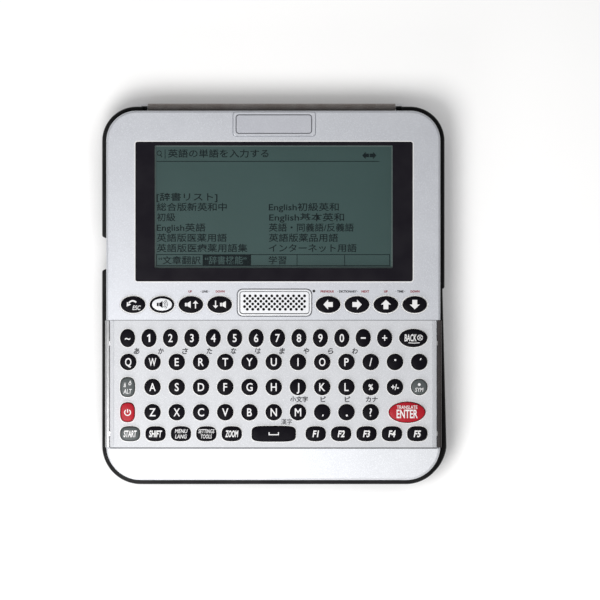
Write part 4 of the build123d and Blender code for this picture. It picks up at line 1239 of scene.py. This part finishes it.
def outline_path(spacing=0.6):
    """Points round the body's plan, clockwise from the top middle."""
    path = []

    def straight(x0, y0, x1, y1):
        count = max(int(hypot(x1 - x0, y1 - y0) / spacing), 1)
        for step in range(count):
            path.append(Vector((x0, y0)).lerp(Vector((x1, y1)), step / count))

    def corner(x, y, radius, start):
        count = int(radius * pi / 2 / spacing)
        for step in range(count):
            angle = start - step / count * pi / 2
            path.append(Vector((x + radius * cos(angle), y + radius * sin(angle))))

    w, l, top, low = half_width, half_length, top_corner, bottom_corner
    straight(0, l, w - top, l)
    corner(w - top, l - top, top, pi / 2)
    straight(w, l - top, w, low - l)
    corner(w - low, low - l, low, 0)
    straight(w - low, -l, low - w, -l)
    corner(low - w, low - l, low, -pi / 2)
    straight(-w, low - l, -w, l - top)
    corner(top - w, l - top, top, -pi)
    straight(top - w, l, 0, l)
    return path


def band_tree():
    """Tree that sweeps a section along a path and makes it stand out as far as the path's radius says."""
    tree, add, given = node_tree("Bumper_band", (
        ("Path", "Geometry", None), ("Section", "Object", None), ("Finish", "Material", None),
    ))
    turned_path = add("GeometryNodeSetCurveNormal", {"mode": "Z_UP"}, None, [("Curve", given["Path"])])
    kept = add("GeometryNodeCaptureAttribute")
    kept.capture_items.new("VECTOR", "Foot")
    kept.capture_items.new("FLOAT", "Stand")
    position = add("GeometryNodeInputPosition").outputs["Position"]
    radius = add("GeometryNodeInputRadius").outputs["Radius"]
    for label, socket in (("Geometry", turned_path.outputs["Curve"]), ("Foot", position), ("Stand", radius)):
        tree.links.new(socket, kept.inputs[label])
    foot, stand = kept.outputs["Foot"], kept.outputs["Stand"]
    even = add("GeometryNodeSetCurveRadius", None, {"Radius": 1.0}, [("Curve", kept.outputs["Geometry"])])
    section = add("GeometryNodeObjectInfo", links=[("Object", given["Section"])])
    swept = add("GeometryNodeCurveToMesh", None, {"Fill Caps": True}, [
        ("Curve", even.outputs["Curve"]), ("Profile Curve", section.outputs["Geometry"]),
    ])
    reach = add("ShaderNodeCombineXYZ", None, {"Z": 1.0}, [("X", stand), ("Y", stand)]).outputs["Vector"]
    offset = calculated(add, "SUBTRACT", position, foot, kind="ShaderNodeVectorMath")
    place = calculated(add, "MULTIPLY_ADD", offset, reach, foot, kind="ShaderNodeVectorMath")
    band = add("GeometryNodeSetPosition", links=[("Geometry", swept.outputs["Mesh"]), ("Position", place)])
    end_tree(add, band.outputs["Geometry"], given["Finish"])
    return tree


bumper_band = band_tree()


def line_object(points, closed):
    """Working object that holds a line through points given as (x, y, z, radius)."""
    curve = bpy.data.curves.new("line", "CURVE")
    curve.dimensions = "3D"
    spline = curve.splines.new("POLY")
    spline.points.add(len(points) - 1)
    spline.use_cyclic_u = closed
    for point, (x, y, z, radius) in zip(spline.points, points):
        point.co = (x, y, z, 1.0)
        point.radius = radius
    return linked("line", curve)


def bumper(name, start, end, stand):
    """Rounded rubber band along part of the outline, between two points near it, with tapered ends."""
    tip, least_share = 1.1, 0.25
    section_steps, squareness, fullness = 12, 4, 2.6
    node = name.lower()
    low, high = node_box(node)
    path = outline_path()
    first = min(range(len(path)), key=lambda k: (path[k] - Vector(start)).length)
    last = min(range(len(path)), key=lambda k: (path[k] - Vector(end)).length)
    route = path[first:last + 1] if last > first else path[first:] + path[:last + 1]
    run = [0.0]
    for before, after in zip(route, route[1:]):
        run.append(run[-1] + (after - before).length)
    middle_z = (low.z + high.z) / 2
    points = []
    for point, distance in zip(route, run):
        left = min(distance, run[-1] - distance, tip)
        if point.y > half_length - 1:
            left = tip
        share = max(sqrt(1 - (1 - left / tip) ** 2), least_share)
        points.append((point.x, point.y, middle_z, stand(point) * share))
    section = []
    for step in range(2 * section_steps + 1):
        up = 1 - step / section_steps
        out = (1 - abs(up) ** squareness) ** (1 / fullness)
        section.append((-out, up * (high.z - low.z) / 2, 0.0, 1.0))
    swept = shaped_by(line_object(points, False), bumper_band, {
        "Section": line_object(section, True), "Finish": finishes["rubber"],
    })
    finished(name, swept, "rubber", "case", (node,), sharp=50.0)


def bumpers():
    """The three bumper segments; the right leg of the lower one stands out further towards the corner."""
    even_stand = 1.8
    leg_top, leg_length, leg_stand, leg_swell = 2.0, 64.0, 1.0, 1.6
    corner_ease, ease_rate = 0.8, 1.6
    left_leg_top = 10.75
    past_hinge = 0.6

    def even(point):
        return even_stand

    def lower(point):
        beside_leg = point.y > bottom_corner - half_length
        if point.x < half_width - (1 if beside_leg else bottom_corner):
            return even_stand
        swell = min(max((leg_top - point.y) / leg_length, 0.0), 1.0)
        past = max(leg_top - leg_length - point.y, 0.0) / bottom_corner
        return leg_stand + leg_swell * swell - corner_ease * min(past * ease_rate, 1.0)

    left_low, left_high = node_box("bumper_top_left")
    right_low = node_box("bumper_top_right")[0]
    lower_high = node_box("bumper_lower")[1]
    left_end = (left_high.x + past_hinge, half_length)
    right_start = (right_low.x - past_hinge, half_length)
    bumper("Bumper_top_left", (-half_width, left_low.y), left_end, even)
    bumper("Bumper_top_right", right_start, (half_width, right_low.y), even)
    bumper("Bumper_lower", (half_width, lower_high.y), (-half_width, left_leg_top), lower)


bumpers()


# Hinge link, rear cover, lid and battery cover

def hinge_link():
    """Link with two smooth barrels joined by a web."""
    half_web, barrel_steps = 0.75, 24
    low, high = node_box("hinge_link")
    radius = (high.y - low.y) / 2
    y = (high.y + low.y) / 2
    start = atan2(half_web, sqrt(radius**2 - half_web**2))
    section = []
    for barrel_z, downwards in ((high.z - radius, -pi / 2), (low.z + radius, pi / 2)):
        for step in range(barrel_steps + 1):
            angle = downwards + start + step / barrel_steps * 2 * (pi - start)
            section.append((y + radius * cos(angle), barrel_z + radius * sin(angle)))
    mesh = bmesh.new()
    capped(mesh, [[(x, py, pz) for py, pz in section] for x in (low.x, high.x)])
    finished("Hinge_link", mesh, "hinge", "link", ("hinge_link",))


hinge_link()
rear_shell = softened("Rear_shell", "rear_cover", "rear", "case", 0.15)
for vertex in rear_shell.data.vertices:
    vertex.co.y = min(vertex.co.y, ear_reach * mm)
second_finish(rear_shell, "rubber", lambda centre, normal: centre.y > half_length + 0.12)
softened("Lid_shell", "lid", "rear", "lid", 0.15)
softened("Battery_door", "battery_cover", "rear", "battery_cover", 0.12)
softened("Earphone_socket", "earphone_jack", "socket", "case", 0.08)
softened("Usb_shell", "usb_socket", "plated", "case", 0.05)
softened("Card_tray", "card_socket", "socket", "case", 0.08)


# Pads of the lid and screws of the casing

def hexagon_rows(node, radius):
    """Half the distance between the columns of a node with six-sided posts, and the y of its two rows."""
    low, high = node_box(node)
    return high.x - 2 * radius / sqrt(3), (low.y + radius, high.y - radius)


def lid_pads():
    """Round rubber pads in the corners of the lid, each wide enough to cover its pocket."""
    pad_radius, solid_radius = 2.75, 2.2
    low_z = node_box("lid_pads")[0].z
    half_pitch, rows = hexagon_rows("lid_pads", solid_radius)
    profile = [(0.18, low_z), (0.05, low_z + 0.05), (0.0, low_z + 0.15), (0.0, low_z + 0.34)]
    mesh = bmesh.new()
    for y in rows:
        pad = bmesh.new()
        moulding(pad, lambda inset: disc(0.0, 0.0, pad_radius - inset, 32), profile)
        joined(mesh, repeated(pad, (-half_pitch, y), (2 * half_pitch, 0.0), 2, "pad"))
    finished("Lid_pads", mesh, "pad", "lid", ("lid_pads",))


lid_pads()


def casing_screw(low_z, high_z, radius):
    """Screw that is driven in from below, with a cross recess in its head."""
    head_height, head_bevel, shank_radius = 1.3, 0.2, 1.0
    arm, half, recess_depth = 1.05, 0.2, 0.6
    mesh = bmesh.new()
    seat_z = low_z + head_height
    rings = [(radius, seat_z), (radius, low_z + head_bevel), (radius - head_bevel, low_z)]
    seat, rim = skin(mesh, [level(disc(0.0, 0.0, ring, 28), z) for ring, z in rings])
    close(mesh, [seat])
    recess = []
    for quarter in range(4):
        recess += turned([(arm, -half), (arm, half), (half, half)], 90 * quarter, 0.0, 0.0)
    mouth, bottom = skin(mesh, [level(recess, low_z), level(recess, low_z + recess_depth)])
    close(mesh, [rim, mouth])
    close(mesh, [bottom])
    slab(mesh, disc(0.0, 0.0, shank_radius, 20), seat_z, high_z)
    return mesh


def casing_screws():
    """Screws in the underside of the rear shell: a wide row of two and a closer one."""
    radius, low_half_pitch = 1.9, 33.0
    low, high = node_box("casing_screws")
    high_half_pitch, (low_y, high_y) = hexagon_rows("casing_screws", radius)
    mesh = bmesh.new()
    for half_pitch, y in ((high_half_pitch, high_y), (low_half_pitch, low_y)):
        screw = casing_screw(low.z, high.z, radius)
        joined(mesh, repeated(screw, (-half_pitch, y), (2 * half_pitch, 0.0), 2, "screw"))
    finished("Casing_screws", mesh, "screw", "case", ("casing_screws",))


casing_screws()


# Picture on the display

def display_picture():
    """Menu on the display: an entry line, a word list in two columns and a row of soft keys."""
    low_z = glass_high.z + 0.01
    high_z = low_z + 0.04
    left = display_x - display_width / 2
    top = display_y + display_length / 2
    dark = bmesh.new()
    light = bmesh.new()

    half_rule = 0.14
    word_height = 2.5

    def rule(x0, y0, x1, y1):
        """Thin bar from one point to another, measured from the display's upper left corner."""
        x0, x1 = sorted((left + x0, left + x1))
        y0, y1 = sorted((top - y0, top - y1))
        box(dark, (x0 - half_rule, y0 - half_rule, low_z), (x1 + half_rule, y1 + half_rule, high_z))

    def words(mesh, text, x, y, width, rise=0.0):
        """Words of a given width, measured from the same corner."""
        place = (left + x + width / 2, top - y)
        lettering(mesh, text, *place, word_height, low_z, high_z + rise, width, 1.3, 0.009)

    lens = [(left + px, top - py) for px, py in arc(1.9, 3.1, 0.9, 0, 345, 18)]
    slab(dark, stroke(lens, 0.3), low_z, high_z)
    slab(dark, stroke([(left + 2.4, top - 3.9), (left + 3.1, top - 4.8)], 0.35), low_z, high_z)
    rule(4.3, 1.8, 4.3, 5.2)
    words(dark, "英語の単語を入力する", 5.5, 3.35, 41.1)
    rule(0.9, 6.5, 91.8, 6.5)
    for x, angle in ((86.3, 180), (89.3, 0)):
        slab(dark, turned(arrow_drawing, angle, left + x, top - 4.05, 0.72), low_z, high_z)
    words(dark, "[辞書リスト]", 0.8, 21.1, 24.9)
    columns = (
        (0.9, (("総合版新英和中", 28.6), ("初級", 7.6), ("English英語", 19.9), ("英語版医薬用語", 28.6),
               ("英語版医療薬用語集", 37.1))),
        (46.7, (("English初級英和", 28.6), ("English基本英和", 30.9), ("英語・同義語/反義語", 34.7),
                ("英語版薬品用語", 28.3), ("インターネット用語", 35.9))),
    )
    first_line, line_pitch = 25.2, 4.2
    for x, entries in columns:
        for line_number, (entry, width) in enumerate(entries):
            words(dark, entry, x, first_line + line_pitch * line_number, width)
    row_top, row_words, row_low = 44.6, 47.0, 49.1
    row_rules = (0.8, 19.8, 39.3, 58.25, 77.7, 96.1)
    for y in (row_top, row_low):
        rule(row_rules[0], y, row_rules[-1], y)
    for x in row_rules:
        rule(x, row_top, x, row_low)
    chosen_low = (left + row_rules[1], top - row_low + 0.1, low_z)
    chosen_high = (left + row_rules[2], top - row_top - 0.1, high_z)
    box(dark, chosen_low, chosen_high)
    words(dark, "“文章翻訳", 1.6, row_words, 17.3)
    words(light, "“辞書機能”", 20.6, row_words, 17.0, 0.02)
    words(dark, "学習", 46.6, row_words, 7.2)
    finished("Display_ink", dark, "ink", "case")
    finished("Display_inverse", light, "display", "case")
    rim = bmesh.new()
    profile = [(0, low_z), (0, high_z)]
    moulding(rim, lambda inset: display_plan(0.3), profile, [lambda grow: display_plan(-0.5)])
    finished("Display_rim", rim, "ink_light", "case")


display_picture()


# Small print on the face

def small_print():
    """Tiny words over the navigation keys and kana between the rows of keys."""
    dark = bmesh.new()
    red = bmesh.new()
    low_z = face_z - 0.02
    high_z = face_z + 0.02
    label_y, label_height, upper_height, lower_height = 1.6, 0.85, 1.95, 1.75
    labels = (
        (red, "UP", -34.0, 1.7), (dark, "· LINE ·", -28.0, 3.6), (red, "DOWN", -21.7, 3.7),
        (red, "PREVIOUS", 22.0, 6.2), (dark, "· DICTIONARY ·", 30.4, 8.4), (red, "NEXT", 37.6, 3.2),
        (red, "UP", 46.0, 1.7), (dark, "· TIME ·", 51.9, 4.0), (red, "DOWN", 57.9, 3.7),
    )
    for mesh, words, x, width in labels:
        lettering(mesh, words, x, label_y, label_height, low_z, high_z, width, 1.0, 0.05)
    finished("Print_red", red, "print_red", "case")
    upper_row = key_places("upper_letter_keys", caps["letter"])
    for (x, y), kana in zip(upper_row, "あかさたなはまやらわ"):
        lettering(dark, kana, x + 3.4, y + 4.4, upper_height, low_z, high_z, 2.4, 1.1, slant=0.15)
    lower_row = key_places("lower_letter_keys", caps["letter"])
    for place, words, width in ((6, "小文字", 7.3), (7, "ビ", 2.4), (8, "ピ", 2.4), (9, "カナ", 4.9)):
        x, y = lower_row[place]
        lettering(dark, words, x + 0.4, y + 5.2, lower_height, low_z, high_z, width, 1.1)
    lettering(dark, "漢字", 5.4, -51.7, lower_height, low_z, high_z, 4.5, 1.1, 0.009)
    finished("Print_dark", dark, "print_dark", "case")


small_print()


# Floor, camera and lights

def stage():
    """White sheet under the object, a camera straight above it, soft lamps and an even sky."""
    half_sheet = 2.5 / mm
    sheet = bmesh.new()
    bmesh.ops.create_grid(sheet, x_segments=1, y_segments=1, size=half_sheet)
    bmesh.ops.scale(sheet, vec=(mm, mm, mm), verts=sheet.verts)
    data = mesh_data("Floor", sheet)
    data.materials.append(floor_material())
    floor = linked("Floor", data)

    view_x, view_y, field, distance = 10.9, -1.9, 245.2, 6000.0
    camera = bpy.data.cameras.new("Camera")
    camera.sensor_width = 36.0
    camera.lens = camera.sensor_width * distance / field
    camera.clip_start = 0.01
    viewer = linked("Camera", camera)
    viewer.location = (view_x * mm, view_y * mm, (face_z + distance) * mm)
    bpy.context.scene.camera = viewer

    lamps = (
        ("Key_lamp", (-0.14, -0.16, 0.50), 0.28, 1.87),
        ("Front_lamp", (-0.09, -0.25, 0.16), 0.14, 0.213),
    )
    for name, place, size, power in lamps:
        light = bpy.data.lights.new(name, "AREA")
        light.shape = "DISK"
        light.size = size
        light.energy = power
        light.color = (1.0, 0.99, 0.98)
        holder = linked(name, light)
        holder.location = place
        holder.rotation_euler = Vector(place).to_track_quat("Z", "Y").to_euler()

    sky_strength = 0.27
    world = bpy.data.worlds.new("Studio")
    world.use_nodes = True
    world.node_tree.nodes.clear()
    add = node_setter(world.node_tree)
    sky = add("ShaderNodeBackground", None, {"Color": (1.0, 1.0, 1.0, 1.0), "Strength": sky_strength})
    add("ShaderNodeOutputWorld", links=[("Surface", sky.outputs["Background"])])
    bpy.context.scene.world = world
    bpy.context.scene.view_settings.view_transform = "Standard"


stage()
